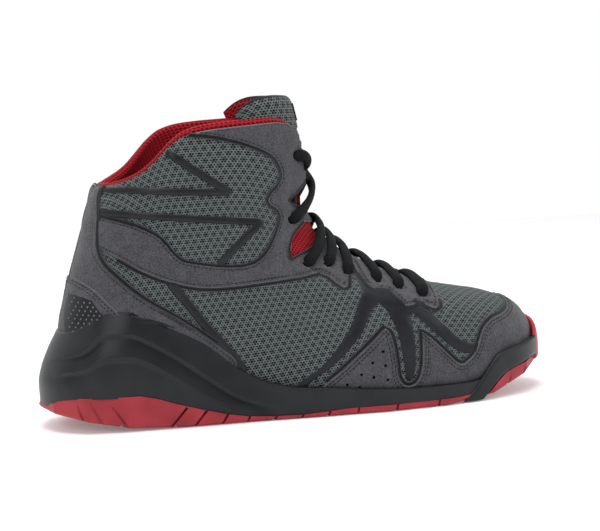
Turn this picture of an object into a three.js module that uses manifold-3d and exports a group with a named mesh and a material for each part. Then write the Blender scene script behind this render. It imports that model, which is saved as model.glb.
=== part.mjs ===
// A right high-top boxing boot, standing empty on its sole.
// Millimetres. +X runs from heel to toe, +Y to the inner (medial) side, +Z up, and the ground is Z = 0.
// The upper and the sole are each a form: closed outlines stacked at rising heights, worked out from
// the tables below. Panels are cut from shells of the upper's own form by outlines drawn from the side.
import * as THREE from "three";
import { mergeVertices } from "three/addons/utils/BufferGeometryUtils.js";
import Module from "manifold-3d";

const wasm = await Module();
wasm.setup();

// Driving sizes
const SHOE_LENGTH = 300; // back of the heel to the tip of the toe
const SOLE_WIDTH = 102; // across the ball of the foot
const COLLAR_HEIGHT = 163; // ground to the front corner of the collar
const UPPER_WALL = 2.2; // mesh, foam and lining of the upper
const OVERLAY_WALL = 1.2; // suede laid over the upper
const FILM_WALL = 0.7; // pressed plastic film laid over the mesh
const COLLAR_PAD = 5.5; // foam round the ankle
const COLLAR_PAD_FRONT = 1.4; // the same lining where the tongue lies inside it
const COLLAR_RISE = 3.2; // lining above the edge of the upper
const TONGUE_WALL = 6; // padded tongue
const TONGUE_RISE = 16; // tongue above the collar
const TONGUE_HALF_WIDTH = 36; // at its top
const THROAT_HALF_GAP = 15; // from the middle of the throat to its edge, at the collar
const INSOLE_WALL = 4;
const TREAD_WALL = 3.6; // outsole where it meets the ground
const TREAD_SIDE = 3; // outsole up the side of the heel
const TREAD_EDGE = 3; // the rounded edge between the ground and the side
const FOXING_WALL = 3; // black rubber band round the toe
const BUMPER_HALF_WIDTH = 17; // red toe bumper, from its middle
const BAR_WALL = 0.8; // black bars laid over the mesh
const BAR_WIDTH = 4;
const QUARTER_BAR_WIDTH = 6.8;
const EYELET_RADIUS = 2.2;
const LACE_WIDTH = 6;
const LACE_WALL = 3.4;
const LACE_SLACK = 0.4; // daylight under a lace
const SIPE_WIDTH = 1.4; // cuts in the side of the tread
const SIPE_DEPTH = 2.2;
const GROOVE_DEPTH = 1.6; // cuts across the bottom of the tread
const RIDGE_PROUD = 1.8; // moulded ridges on the side of the midsole
const GAP = 0.3; // between neighbouring pieces

const FULL = 100; // the tables below are in hundredths of a driving size
const STEPS = 12; // stations along each side of an outline
const FAR = 400; // past every piece, for cutting blocks

// A table with named columns. Its rows are read off smoothly, with no overshoot between them.
function table(names, rows) {
  return { names: names.split(" "), rows };
}

function slopes(at, value) {
  const step = at.slice(1).map((a, i) => (value[i + 1] - value[i]) / (a - at[i]));
  return at.map((_, i) => {
    if (i === 0) return step[0];
    if (i === at.length - 1) return step[i - 1];
    const [before, after] = [step[i - 1], step[i]];
    return before * after <= 0 ? 0 : (2 * before * after) / (before + after);
  });
}

function read(source, name, x) {
  source.cache ??= {};
  if (!source.cache[name]) {
    const column = source.names.indexOf(name);
    const at = source.rows.map((row) => row[0]);
    const value = source.rows.map((row) => row[column]);
    source.cache[name] = { at, value, slope: slopes(at, value) };
  }
  const { at, value, slope } = source.cache[name];
  const last = at.length - 1;
  const clamped = Math.min(Math.max(x, at[0]), at[last]);
  let i = 0;
  while (i < last - 1 && clamped > at[i + 1]) i += 1;
  const span = at[i + 1] - at[i];
  const t = (clamped - at[i]) / span;
  const rest = 1 - t;
  return (
    value[i] * rest * rest * (1 + 2 * t) +
    value[i + 1] * t * t * (3 - 2 * t) +
    span * t * rest * (slope[i] * rest - slope[i + 1] * t)
  );
}

const alongShare = (x) => (x / SHOE_LENGTH) * FULL;
const length = (share) => (share / FULL) * SHOE_LENGTH;
const width = (share) => (share / FULL) * SOLE_WIDTH;
const height = (share) => (share / FULL) * COLLAR_HEIGHT;
const alongHeight = (z) => (z / COLLAR_HEIGHT) * FULL;

// A curve seen from the side: its height in millimetres at x.
const sideCurve = (rows) => {
  const source = table("along height", rows);
  const curve = (x) => height(read(source, "height", alongShare(x)));
  curve.marks = rows.map(([along]) => along);
  return curve;
};

// The upper's outer surface. Heights are shares of the collar height, back, front and the lengths of
// the rounded ends shares of the shoe's length, and half widths shares of the sole's width.
// Arch is what the inner side loses at the waist.
const LAST = table("height back front heelRound toeRound heel waist ball toe arch", [
  [-6, 6.6, 95.5, 11.3, 16.5, 27.5, 32.0, 42.0, 35.0, 7.0],
  [2.5, 6.0, 96.4, 11.3, 16.7, 28.4, 33.5, 43.5, 36.5, 7.0],
  [12.3, 4.5, 98.2, 11.3, 16.7, 30.4, 36.3, 46.6, 40.5, 6.0],
  [20.9, 4.3, 97.9, 11.4, 16.7, 31.4, 37.7, 46.8, 41.0, 4.0],
  [27.6, 4.4, 95.9, 11.6, 16.9, 32.4, 38.2, 44.8, 39.0, 2.0],
  [32.5, 4.8, 91.9, 11.8, 17.5, 32.8, 38.2, 42.4, 37.5, 1.0],
  [36.2, 5.2, 86.2, 12.0, 18.6, 33.3, 37.8, 40.4, 36.5, 0],
  [39.9, 5.8, 78.4, 12.2, 19.6, 33.8, 37.4, 39.4, 36.0, 0],
  [45.4, 6.6, 70.0, 12.6, 20.8, 34.3, 36.8, 38.4, 36.0, 0],
  [52.8, 7.7, 63.0, 13.0, 21.8, 34.8, 36.6, 37.6, 36.0, 0],
  [61.3, 9.2, 57.8, 13.4, 21.2, 35.2, 36.6, 37.2, 36.0, 0],
  [71.2, 11.2, 55.0, 13.6, 19.6, 35.3, 36.6, 37.0, 36.0, 0],
  [82.2, 14.5, 54.1, 13.8, 18.2, 35.4, 36.7, 37.0, 36.0, 0],
  [94.5, 18.0, 53.4, 14.2, 17.4, 35.8, 37.0, 37.4, 36.0, 0],
  [109, 20.4, 51.6, 14.6, 17.0, 36.8, 38.0, 38.0, 36.0, 0],
  [122, 21.6, 50.0, 14.8, 17.0, 37.8, 39.0, 39.0, 36.0, 0],
]);

// The outer surface of the sole unit, as far up as its heel cup and toe bumper reach.
const SOLE = table("height back front heelRound toeRound heel waist ball toe arch", [
  [-2, 0.6, 99.4, 12.4, 18.0, 37.2, 41.0, 49.6, 43.6, 9.0],
  [3, 0.3, 99.6, 12.6, 18.0, 37.6, 41.4, 50.0, 44.0, 8.6],
  [9, 0.1, 99.9, 12.8, 18.0, 38.0, 41.6, 50.0, 44.2, 7.4],
  [15, 0, 100, 12.8, 18.0, 38.0, 41.6, 50.0, 44.4, 6.0],
  [21, 0.7, 99.6, 12.6, 17.8, 37.6, 41.2, 49.8, 44.4, 4.6],
  [27, 2.2, 97.5, 12.4, 17.8, 36.8, 41.0, 48.2, 42.8, 2.6],
  [33, 3.8, 93.6, 12.2, 18.2, 36.0, 40.8, 45.4, 41.0, 1.4],
  [40.5, 5.1, 80.6, 12.4, 20.0, 36.0, 40.0, 42.6, 39.6, 0],
]);

// How far the middle line of both forms swings to the inner side.
const SWING = table("along out", [
  [0, 0],
  [45, 0],
  [68, 1.2],
  [86, 5.2],
  [100, 9],
]);

// Where along the shoe the half widths of the two tables are measured.
const STATIONS = [
  ["heel", 12],
  ["waist", 36],
  ["ball", 67],
  ["toe", 88],
];

// Curves seen from the side: along in shares of the length, height in shares of the collar height.
const groundCurve = sideCurve([
  [0, 6.8],
  [3, 5.4],
  [7, 3.8],
  [11, 2.2],
  [15.5, 0.9],
  [20, 0],
  [77, 0],
  [80, 0.2],
  [84, 1.4],
  [88, 3.4],
  [93, 6.4],
  [97, 9.2],
  [100, 12],
]);
const treadCurve = sideCurve([
  [0, 8.4],
  [1.6, 9.6],
  [3.4, 11.6],
  [6, 12.1],
  [16.6, 11.9],
  [19.6, 10.6],
  [23, 8.4],
  [27, 6.2],
  [32, 3.7],
  [36, 2.3],
  [41, 1.6],
  [46, 1.4],
  [50, 1.8],
  [55, 2.4],
  [77, 2.5],
  [84, 3.9],
  [88, 5.9],
  [93, 8.9],
  [97, 11.7],
  [100, 14.5],
]);
const cupCurve = sideCurve([
  [0, 32],
  [3.5, 33],
  [5.5, 34],
  [8.4, 37.4],
  [10.2, 40.5],
  [15, 40.6],
  [18.5, 37.6],
  [22.4, 33.8],
  [26, 30.6],
  [29.6, 26.4],
  [33, 21.2],
  [37, 16.2],
  [41, 12.8],
  [46, 10.6],
  [52, 9.8],
  [60, 8.4],
  [70, 7.4],
  [79, 7.2],
  [84, 8.2],
  [88, 9.8],
  [92, 11.8],
  [96, 13.8],
  [100, 15.6],
]);
const footbedCurve = sideCurve([
  [0, 14.4],
  [20, 13.8],
  [30, 12.2],
  [40, 9.8],
  [50, 7.6],
  [60, 6.1],
  [68, 5.5],
  [78, 5.5],
  [85, 6.8],
  [91, 9],
  [96, 11.4],
  [100, 13.2],
]);
const collarCurve = sideCurve([
  [0, 80.5],
  [13, 80.8],
  [16.5, 81.8],
  [20, 83.6],
  [23, 86.2],
  [25.5, 89.6],
  [28, 93.8],
  [30.5, 96.8],
  [35, 98.6],
  [42, 99.4],
  [49, 100],
  [60, 100],
]);
const liningFoot = sideCurve([
  [0, 52],
  [100, 52],
]);

// The two moulded ridges, as shares of the way from the tread's top to the cup's top.
const RIDGES = table("along low high", [
  [0, 0.4, 0.63],
  [7, 0.4, 0.64],
  [12, 0.46, 0.72],
  [17, 0.44, 0.71],
  [22, 0.37, 0.67],
  [28, 0.22, 0.53],
  [35, 0.12, 0.38],
  [42, 0.08, 0.27],
  [100, 0.08, 0.2],
]);
const ridgeFade = (x) => {
  const share = alongShare(x);
  const rise = Math.min(1, Math.max(0, (share - 3) / 4));
  const fall = Math.min(1, Math.max(0, (42 - share) / 8));
  return rise * fall;
};

const roundedEnd = (distance, reach) => {
  const rest = 1 - Math.min(1, Math.max(0, distance / reach));
  return Math.sqrt(1 - rest * rest);
};

const middleLine = (x) => width(read(SWING, "out", alongShare(x)));

function halfWidth(form, side, x, z) {
  const level = alongHeight(z);
  const values = STATIONS.map(([name, along]) => [along, read(form, name, level)]);
  const breadth = read(table("along value", values), "value", alongShare(x));
  const waist = STATIONS[1][1];
  const reach = 22; // the arch, before and behind the waist
  const near = Math.max(0, 1 - ((alongShare(x) - waist - 4) / reach) ** 2);
  const drawn = side > 0 ? read(form, "arch", level) * near * near : 0;
  const back = length(read(form, "back", level));
  const front = length(read(form, "front", level));
  const heelEnd = roundedEnd(x - back, length(read(form, "heelRound", level)));
  const toeEnd = roundedEnd(front - x, length(read(form, "toeRound", level)));
  return width(breadth - drawn) * heelEnd * toeEnd;
}

// A point of a form. Turn runs from 0 at the back of the heel to 1 at the toe; side is -1 for the
// outer side of the foot and 1 for the inner.
function skin(form, side, turn, z) {
  const level = alongHeight(z);
  const back = length(read(form, "back", level));
  const front = length(read(form, "front", level));
  const x = back + ((front - back) * (1 - Math.cos(Math.PI * turn))) / 2;
  const y = middleLine(x) + side * halfWidth(form, side, x, z);
  return new THREE.Vector3(x, y, z);
}

// The same point, moved outwards along the form's normal.
function grown(form, side, turn, z, grow) {
  const point = skin(form, side, turn, z);
  if (!grow) return point;
  const dt = 1e-3;
  const dz = 0.05;
  const inner = Math.min(Math.max(turn, dt), 1 - dt);
  const across = skin(form, side, inner + dt, z).sub(skin(form, side, inner - dt, z));
  const up = skin(form, side, turn, z + dz).sub(skin(form, side, turn, z - dz));
  const normal = across.cross(up).normalize().multiplyScalar(-side);
  if (turn < dt || turn > 1 - dt) normal.setY(0).normalize();
  return point.addScaledVector(normal, grow);
}

// The height at which a line of constant turn meets a curve seen from the side.
function heightOn(form, side, turn, curve) {
  let z = curve(skin(form, side, turn, COLLAR_HEIGHT / 8).x);
  for (let k = 0; k < 6; k += 1) z = (z + curve(skin(form, side, turn, z).x)) / 2;
  return z;
}

function toSolid(geometry) {
  const bare = geometry.clone();
  bare.deleteAttribute("normal");
  bare.deleteAttribute("uv");
  const merged = mergeVertices(bare, 1e-4);
  const index = merged.index.array;
  const kept = [];
  for (let i = 0; i < index.length; i += 3) {
    const [a, b, c] = [index[i], index[i + 1], index[i + 2]];
    if (a !== b && b !== c && c !== a) kept.push(a, b, c);
  }
  return new wasm.Manifold(
    new wasm.Mesh({
      numProp: 3,
      vertProperties: merged.attributes.position.array,
      triVerts: new Uint32Array(kept),
    }),
  );
}

function toGeometry(solid) {
  const mesh = solid.getMesh();
  const position = new Float32Array(mesh.numVert * 3);
  for (let i = 0; i < mesh.numVert; i += 1) {
    const start = i * mesh.numProp;
    position.set(mesh.vertProperties.subarray(start, start + 3), i * 3);
  }
  const geometry = new THREE.BufferGeometry();
  geometry.setAttribute("position", new THREE.BufferAttribute(position, 3));
  geometry.setIndex(new THREE.BufferAttribute(mesh.triVerts, 1));
  return geometry;
}

// A closed solid between the rows of a form. Each row has its height at x and how far it is grown:
// along the surface's own normal, or, where level is set, without leaving its height.
function formSolid(form, rows, level = false) {
  const positions = [];
  const ring = (row) => {
    const points = [];
    const place = (side, k) => {
      const turn = k / STEPS;
      const z = heightOn(form, side, turn, row.height);
      const grow = typeof row.grow === "function" ? row.grow(skin(form, side, turn, z).x, z) : row.grow;
      const point = grown(form, side, turn, z, grow);
      points.push(level ? point.setZ(z) : point);
    };
    for (let k = 0; k < STEPS; k += 1) place(-1, k);
    for (let k = STEPS; k > 0; k -= 1) place(1, k);
    return points;
  };
  const rings = rows.map(ring);
  const count = 2 * STEPS;
  const triangle = (a, b, c) => positions.push(...a.toArray(), ...b.toArray(), ...c.toArray());
  for (let r = 0; r + 1 < rings.length; r += 1) {
    for (let k = 0; k < count; k += 1) {
      const next = (k + 1) % count;
      triangle(rings[r][k], rings[r][next], rings[r + 1][next]);
      triangle(rings[r][k], rings[r + 1][next], rings[r + 1][k]);
    }
  }
  const cap = (points, up) => {
    for (let k = 0; k < STEPS; k += 1) {
      const [a, b] = [points[k], points[k + 1]];
      const [c, d] = [points[(count - k) % count], points[count - k - 1]];
      const quad = up ? [a, b, d, a, d, c] : [a, d, b, a, c, d];
      triangle(quad[0], quad[1], quad[2]);
      triangle(quad[3], quad[4], quad[5]);
    }
  };
  cap(rings[0], false);
  cap(rings[rings.length - 1], true);
  const geometry = new THREE.BufferGeometry();
  geometry.setAttribute("position", new THREE.Float32BufferAttribute(positions, 3));
  return toSolid(geometry);
}

// The upper's form as a solid block, grown outwards or, where grow is negative, inwards.
function lastSolid(grow, low = LAST.rows[0][0], high = FULL * 1.2) {
  const levels = LAST.rows.map((row) => row[0]).filter((level) => level > low && level < high);
  const rows = [low, ...levels, high].map((level) => ({ height: () => height(level), grow }));
  return formSolid(LAST, rows);
}

// A block whose outline is seen from the side, standing across the shoe from one y to another.
function sidePrism(points, from = -FAR, to = FAR) {
  const shape = new THREE.Shape(points.map(([x, z]) => new THREE.Vector2(x, z)));
  const geometry = new THREE.ExtrudeGeometry(shape, { depth: to - from, bevelEnabled: false });
  geometry.rotateX(Math.PI / 2);
  geometry.translate(0, to, 0);
  return toSolid(geometry);
}

// An outline through hand-placed points, given as shares and moved outwards where grow is more than 0.
function outline(shares, grow = 0) {
  const points = shares.map(([along, up]) => new THREE.Vector2(length(along), height(up)));
  const turn = THREE.ShapeUtils.isClockWise(points) ? 1 : -1;
  return points.map((point, i) => {
    const before = points[(i + points.length - 1) % points.length];
    const after = points[(i + 1) % points.length];
    const arriving = point.clone().sub(before).normalize();
    const leaving = after.clone().sub(point).normalize();
    const along = arriving.add(leaving).normalize();
    return [point.x - turn * along.y * grow, point.y + turn * along.x * grow];
  });
}

// The outline of everything above a curve, or below it.
function beyondCurve(curve, lift, far) {
  const marks = [-FULL, ...curve.marks, FULL * 2];
  const points = marks.map((along) => [length(along), curve(length(along)) + lift]);
  return [...points, [length(FULL * 2), far], [length(-FULL), far]];
}

const aboveCurve = (curve, lift) => sidePrism(beyondCurve(curve, lift, FAR));
const belowCurve = (curve, lift) => sidePrism(beyondCurve(curve, lift, -FAR));

// The throat: a slot along the front of the form, wider towards the collar.
const THROAT = table("height gap", [
  [39.5, 0],
  [40.2, 28],
  [42, 48],
  [46, 66],
  [56, 76],
  [75, 88],
  [100, 100],
  [150, 100],
]);

function throatSlot(wider) {
  const levels = [39.5, 39.8, 40.2, 41, 42, 44, 48, 54, 62, 75, 100, 125];
  const reach = length(14);
  const rings = levels.map((level) => {
    const z = height(level);
    const gap = wider + (THROAT_HALF_GAP * read(THROAT, "gap", level)) / FULL;
    const front = length(read(LAST, "front", level));
    const middle = middleLine(front);
    const [near, far] = [front - reach, front + reach];
    return [
      [near, middle - gap, z],
      [far, middle - gap, z],
      [far, middle + gap, z],
      [near, middle + gap, z],
    ];
  });
  return loft(rings);
}

// A closed solid through rings of the same even number of points, counter-clockwise seen from its end.
// Its two ends are closed by pairing the first half of a ring with the second.
function loft(rings) {
  const count = rings[0].length;
  const positions = [];
  const triangle = (a, b, c) => positions.push(...a, ...b, ...c);
  for (let r = 0; r + 1 < rings.length; r += 1) {
    for (let k = 0; k < count; k += 1) {
      const next = (k + 1) % count;
      triangle(rings[r][k], rings[r][next], rings[r + 1][next]);
      triangle(rings[r][k], rings[r + 1][next], rings[r + 1][k]);
    }
  }
  const first = rings[0];
  const last = rings[rings.length - 1];
  for (let k = 0; k + 1 < count / 2; k += 1) {
    const far = count - 1 - k;
    triangle(first[k], first[far], first[far - 1]);
    triangle(first[k], first[far - 1], first[k + 1]);
    triangle(last[k], last[far - 1], last[far]);
    triangle(last[k], last[k + 1], last[far - 1]);
  }
  const geometry = new THREE.BufferGeometry();
  geometry.setAttribute("position", new THREE.Float32BufferAttribute(positions, 3));
  return toSolid(geometry);
}

// Two wedges cut from the throat's edge, where the ankle bends.
const FLEX_NOTCHES = [
  [
    [48.6, 73.5],
    [58, 86.5],
    [58, 69],
    [51.6, 70.5],
  ],
  [
    [48.6, 53.5],
    [49.6, 61.5],
    [52.8, 65.5],
    [58, 64],
    [56, 57.5],
  ],
];

// Eyelets from the top down. Facing is the way the throat looks where the lace crosses below each, in
// degrees above level.
const EYELETS = table("along height facing", [
  [49.4, 88.5, 2],
  [49.4, 66.4, 25],
  [51.8, 51.6, 47],
  [56.4, 50.6, 60],
  [60.0, 47.0, 66],
  [65.6, 43.6, 68],
  [69.4, 40.8, 68],
  [73.6, 37.8, 68],
]).rows;

function punches() {
  return EYELETS.map(([along, up]) => {
    const geometry = new THREE.CylinderGeometry(EYELET_RADIUS, EYELET_RADIUS, FAR, 6);
    geometry.translate(length(along), 0, height(up));
    return toSolid(geometry);
  });
}

const joined = (solids) => solids.reduce((a, b) => a.add(b));

// Panels, drawn from the side in shares of the length and of the collar height.
const PANELS = {
  heelCounter: [
    [-4, 20],
    [-4, 92],
    [15.8, 92],
    [15.4, 84],
    [13.6, 79],
    [11.8, 72],
    [11.0, 62],
    [11.8, 55.5],
    [14.2, 50.5],
    [18.4, 44.2],
    [23, 39.2],
    [27.6, 34],
    [31, 28],
    [33, 20],
  ],
  ankleBand: [
    [26.4, 96.6],
    [29.4, 102],
    [40, 112],
    [60, 112],
    [62, 90],
    [64, 60],
    [62.8, 52],
    [60.6, 44.6],
    [59.2, 43.2],
    [57.6, 43.6],
    [55.0, 47.4],
    [52.2, 48.2],
    [47, 47.2],
    [39, 46],
    [31, 46],
    [25, 48.4],
    [18, 54.6],
    [11.9, 60.6],
    [11.6, 71.6],
    [15.4, 69.8],
    [19.6, 66.6],
    [22.8, 62.6],
    [25.2, 57.4],
    [29.4, 54.6],
    [36, 53],
    [41.4, 53.8],
    [44.6, 58.6],
    [47.0, 66.4],
    [46.4, 70.4],
    [43.8, 74.2],
    [46.2, 79.8],
    [45.8, 85],
    [42.2, 91],
    [36, 95.4],
    [31.4, 97.6],
  ],
  laceStay: [
    [61.6, 50.8],
    [61.8, 46.4],
    [63.4, 41.8],
    [65.6, 40.8],
    [67.0, 39.8],
    [68.4, 36.6],
    [69.8, 34.6],
    [71.4, 35.4],
    [73.2, 35],
    [75.0, 33.2],
    [76.4, 35.4],
    [76.6, 40],
    [75.6, 46],
    [64.5, 60],
  ],
  toeGuard: [
    [49.8, 6],
    [50.8, 10.6],
    [57.6, 20.4],
    [63.6, 28],
    [64.5, 26.4],
    [64.8, 17],
    [65.2, 10.8],
    [66.8, 8.6],
    [68.6, 9.4],
    [69.6, 14],
    [70.2, 21],
    [70.6, 26.2],
    [73.6, 21],
    [76.6, 15.8],
    [78.8, 15],
    [80.8, 18.6],
    [82.0, 22.6],
    [83.4, 26.2],
    [87.2, 29.2],
    [89.8, 32.2],
    [89.6, 35.4],
    [88, 42],
    [106, 42],
    [106, -6],
    [49.8, -6],
  ],
  web: [
    [61.2, 47],
    [68, 44],
    [74, 38],
    [74.4, 32.4],
    [77.0, 26.2],
    [79.6, 20.6],
    [79.2, 17.8],
    [76.2, 20.4],
    [71.4, 30.2],
    [70.0, 29],
    [69.2, 22],
    [68.6, 11.8],
    [66.4, 11.8],
    [66.2, 20],
    [65.6, 30],
    [64.2, 34],
    [60.4, 29.4],
    [54, 19.6],
    [48.2, 10.8],
    [45.6, 10.8],
    [50.4, 17.4],
    [55, 25],
    [59, 34.2],
    [61, 42],
  ],
  foxing: [
    [77.3, -1.6],
    [80.2, 4],
    [82.2, 8],
    [84.2, 12],
    [86.2, 15.6],
    [88.6, 17],
    [92.4, 18],
    [96, 19.2],
    [106, 20.6],
    [106, 13.2],
    [95, 11.8],
    [91, 10.4],
    [88, 8.8],
    [85.4, 5.6],
    [82.8, 1.2],
    [80.4, -1.6],
  ],
};

// The middle lines of the black bars over the mesh, drawn from the side; each is mitred at its bend.
const BARS = {
  ankle_bar_upper: [
    [25.4, 93.2],
    [36.4, 77.6],
    [13.4, 80.2],
  ],
  ankle_bar_lower: [
    [33.4, 53.6],
    [42.6, 67.0],
    [12.2, 72.6],
  ],
  quarter_bar: [
    [24.4, 46.6],
    [30, 32],
    [36.2, 16.6],
  ],
};

// The outline of a bar: its middle line moved to each side by half its width.
function barOutline(shares, wide) {
  const points = shares.map(([along, up]) => new THREE.Vector2(length(along), height(up)));
  const edge = (side) =>
    points.map((point, i) => {
      const arriving = point.clone().sub(points[Math.max(i - 1, 0)]).normalize();
      const leaving = points[Math.min(i + 1, points.length - 1)].clone().sub(point).normalize();
      const along = arriving.clone().add(leaving).normalize();
      const mitre = Math.max(0.35, Math.abs(along.dot(leaving.lengthSq() ? leaving : arriving)));
      const off = (side * wide) / 2 / mitre;
      return [point.x - along.y * off, point.y + along.x * off];
    });
  return [...edge(1), ...edge(-1).reverse()];
}

function bar(name, side) {
  const [from, to] = side < 0 ? [-FAR, -GAP] : [GAP, FAR];
  const wide = name === "quarter_bar" ? QUARTER_BAR_WIDTH : BAR_WIDTH;
  let panel = shellOf(GAP, BAR_WALL).intersect(sidePrism(barOutline(BARS[name], wide), from, to));
  for (const other of ["heelCounter", "ankleBand"]) {
    panel = panel.subtract(sidePrism(outline(PANELS[other], GAP)));
  }
  return trimmed(panel);
}

const shellOf = (grow, wall) => lastSolid(grow + wall).subtract(lastSolid(grow));

// What lies above the rim of the sole unit and below the collar, outside the throat.
function trimmed(solid) {
  const cuts = [
    aboveCurve(collarCurve, 0),
    belowCurve(cupCurve, GAP),
    throatSlot(0),
    ...FLEX_NOTCHES.map((points) => sidePrism(outline(points))),
    ...punches(),
  ];
  return cuts.reduce((rest, cut) => rest.subtract(cut), solid);
}

// A panel of the outer skin, clear of the neighbours that were laid before it.
function overlay(name, wall, side, neighbours = []) {
  const [from, to] = side < 0 ? [-FAR, 0] : side > 0 ? [0, FAR] : [-FAR, FAR];
  let panel = shellOf(GAP, wall).intersect(sidePrism(outline(PANELS[name]), from, to));
  for (const other of neighbours) panel = panel.subtract(sidePrism(outline(PANELS[other], GAP)));
  return trimmed(panel);
}

function upper() {
  const shell = lastSolid(0).subtract(lastSolid(-UPPER_WALL, -5, FULL * 1.19));
  const cuts = [
    aboveCurve(collarCurve, 0),
    belowCurve(footbedCurve, GAP),
    throatSlot(0),
    ...FLEX_NOTCHES.map((points) => sidePrism(outline(points))),
    ...punches(),
  ];
  return cuts.reduce((rest, cut) => rest.subtract(cut), shell);
}

// The hollow that the upper stands in.
const cavity = () => lastSolid(GAP).subtract(belowCurve(footbedCurve, 0));

// The outer skin of the sole unit, a rubber band's thickness deep.
function soleBlock(grow) {
  const levels = SOLE.rows.map((row) => row[0]);
  return formSolid(
    SOLE,
    levels.map((level) => ({ height: () => height(level), grow })),
    true,
  );
}

function toeBand(wider) {
  const ring = soleBlock(wider).subtract(soleBlock(-FOXING_WALL - wider));
  return ring.intersect(sidePrism(outline(PANELS.foxing, wider)));
}

// The red bumper's place on the front of the toe, seen from the front.
function bumperBlock(wider) {
  const middle = middleLine(SHOE_LENGTH);
  const half = BUMPER_HALF_WIDTH + wider;
  const top = height(26.2) + wider;
  const shape = new THREE.Shape();
  shape.moveTo(middle - half, -10);
  shape.lineTo(middle + half, -10);
  shape.lineTo(middle + half, top * 0.7);
  shape.quadraticCurveTo(middle + half * 0.9, top, middle, top);
  shape.quadraticCurveTo(middle - half * 0.9, top, middle - half, top * 0.7);
  const geometry = new THREE.ExtrudeGeometry(shape, {
    depth: length(20),
    bevelEnabled: false,
    curveSegments: 5,
  });
  geometry.rotateX(Math.PI / 2);
  geometry.rotateZ(Math.PI / 2);
  geometry.translate(length(84), 0, 0);
  return toSolid(geometry);
}

function toeFoxing(side) {
  const half = new THREE.BoxGeometry(FAR * 2, FAR, FAR * 2);
  half.translate(0, (side * FAR) / 2, 0);
  return toeBand(0)
    .intersect(toSolid(half))
    .subtract(lastSolid(OVERLAY_WALL + 2 * GAP))
    .subtract(bumperBlock(GAP))
    .subtract(belowCurve(groundCurve, 0.6));
}

const JOINT = 82; // where the midsole ends and the red toe begins, in shares of the length
const SOLE_TOP = 41.5; // just above the heel cup, in shares of the collar height

// Cuts up the side of the tread, with their lean in degrees, and whether a groove runs across from each.
const SIPES = table("along lean groove", [
  [6, 20, 0],
  [9, 28, 0],
  [13.2, 34, 1],
  [23, -42, 1],
  [27, -40, 0],
  [31.5, -32, 0],
  [36, -20, 0],
  [41, -20, 1],
  [46, -16, 0],
  [51, -14, 1],
  [56.5, -12, 0],
  [64, -10, 1],
  [72.5, -10, 1],
  [88.4, -24, 1],
  [92.4, -24, 0],
]).rows;

function sipes() {
  const cuts = [];
  for (const [along, lean, across] of SIPES) {
    const x = length(along);
    for (const side of [-1, 1]) {
      const box = new THREE.BoxGeometry(SIPE_WIDTH, SIPE_DEPTH * 2, height(11));
      box.rotateY(THREE.MathUtils.degToRad(-lean));
      const z = (groundCurve(x) + Math.min(treadCurve(x), groundCurve(x) + height(8))) / 2;
      const y = skin(SOLE, side, turnAt(SOLE, x, z), z).y;
      box.translate(x, y, z - height(1.2));
      cuts.push(toSolid(box));
    }
    if (across) {
      const groove = new THREE.BoxGeometry(SIPE_WIDTH * 1.6, SOLE_WIDTH * 1.2, GROOVE_DEPTH * 2);
      groove.translate(x, 0, groundCurve(x));
      cuts.push(toSolid(groove));
    }
  }
  return joined(cuts);
}

const turnAt = (form, x, z) => {
  const level = alongHeight(z);
  const back = length(read(form, "back", level));
  const front = length(read(form, "front", level));
  const share = Math.min(1, Math.max(0, (x - back) / (front - back)));
  return Math.acos(1 - 2 * share) / Math.PI;
};

// Everything above the tread and behind the red toe, which is where the midsole lies.
function midsoleRoom(gap) {
  const joint = JOINT - alongShare(gap);
  const marks = [-FULL, ...treadCurve.marks.filter((along) => along < joint), joint];
  const points = marks.map((along) => [length(along), treadCurve(length(along)) + gap]);
  return sidePrism([...points, [length(joint), FAR], [length(-FULL), FAR]]);
}

// The foam that fills the hollow of the red heel cup.
function heelCore(gap) {
  const end = length(30);
  const grow = -TREAD_SIDE - gap;
  const rows = [
    { height: (x) => groundCurve(x) + TREAD_WALL + gap, grow: grow - TREAD_SIDE / 2 },
    { height: (x) => groundCurve(x) + TREAD_WALL * 2, grow },
    { height: (x) => groundCurve(x) + height(14), grow },
  ];
  const behind = sidePrism([
    [-FAR, -FAR],
    [end - gap, -FAR],
    [end - gap, FAR],
    [-FAR, FAR],
  ]);
  return formSolid(SOLE, rows, true).intersect(behind);
}

function outsole() {
  const foot = (x) => groundCurve(x) + TREAD_EDGE * 0.7;
  const rising = [0.14, 0.34, 1]; // rows above the foot, closer together where the toe turns up
  const rows = [
    { height: groundCurve, grow: -TREAD_EDGE },
    { height: (x) => groundCurve(x) + TREAD_EDGE * 0.2, grow: -TREAD_EDGE * 0.35 },
    { height: foot, grow: 0 },
    ...rising.map((share) => ({
      height: (x) => foot(x) + (height(SOLE_TOP) - foot(x)) * share,
      grow: 0,
    })),
  ];
  const block = formSolid(SOLE, rows, true).subtract(aboveCurve(cupCurve, 0));
  const bumper = soleBlock(0.2).subtract(lastSolid(OVERLAY_WALL + 2 * GAP)).intersect(bumperBlock(0));
  return block
    .subtract(midsoleRoom(0))
    .subtract(heelCore(0))
    .subtract(cavity())
    .subtract(toeBand(GAP).subtract(bumperBlock(0)))
    .add(bumper.subtract(belowCurve(footbedCurve, 0)))
    .subtract(sipes());
}

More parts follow.
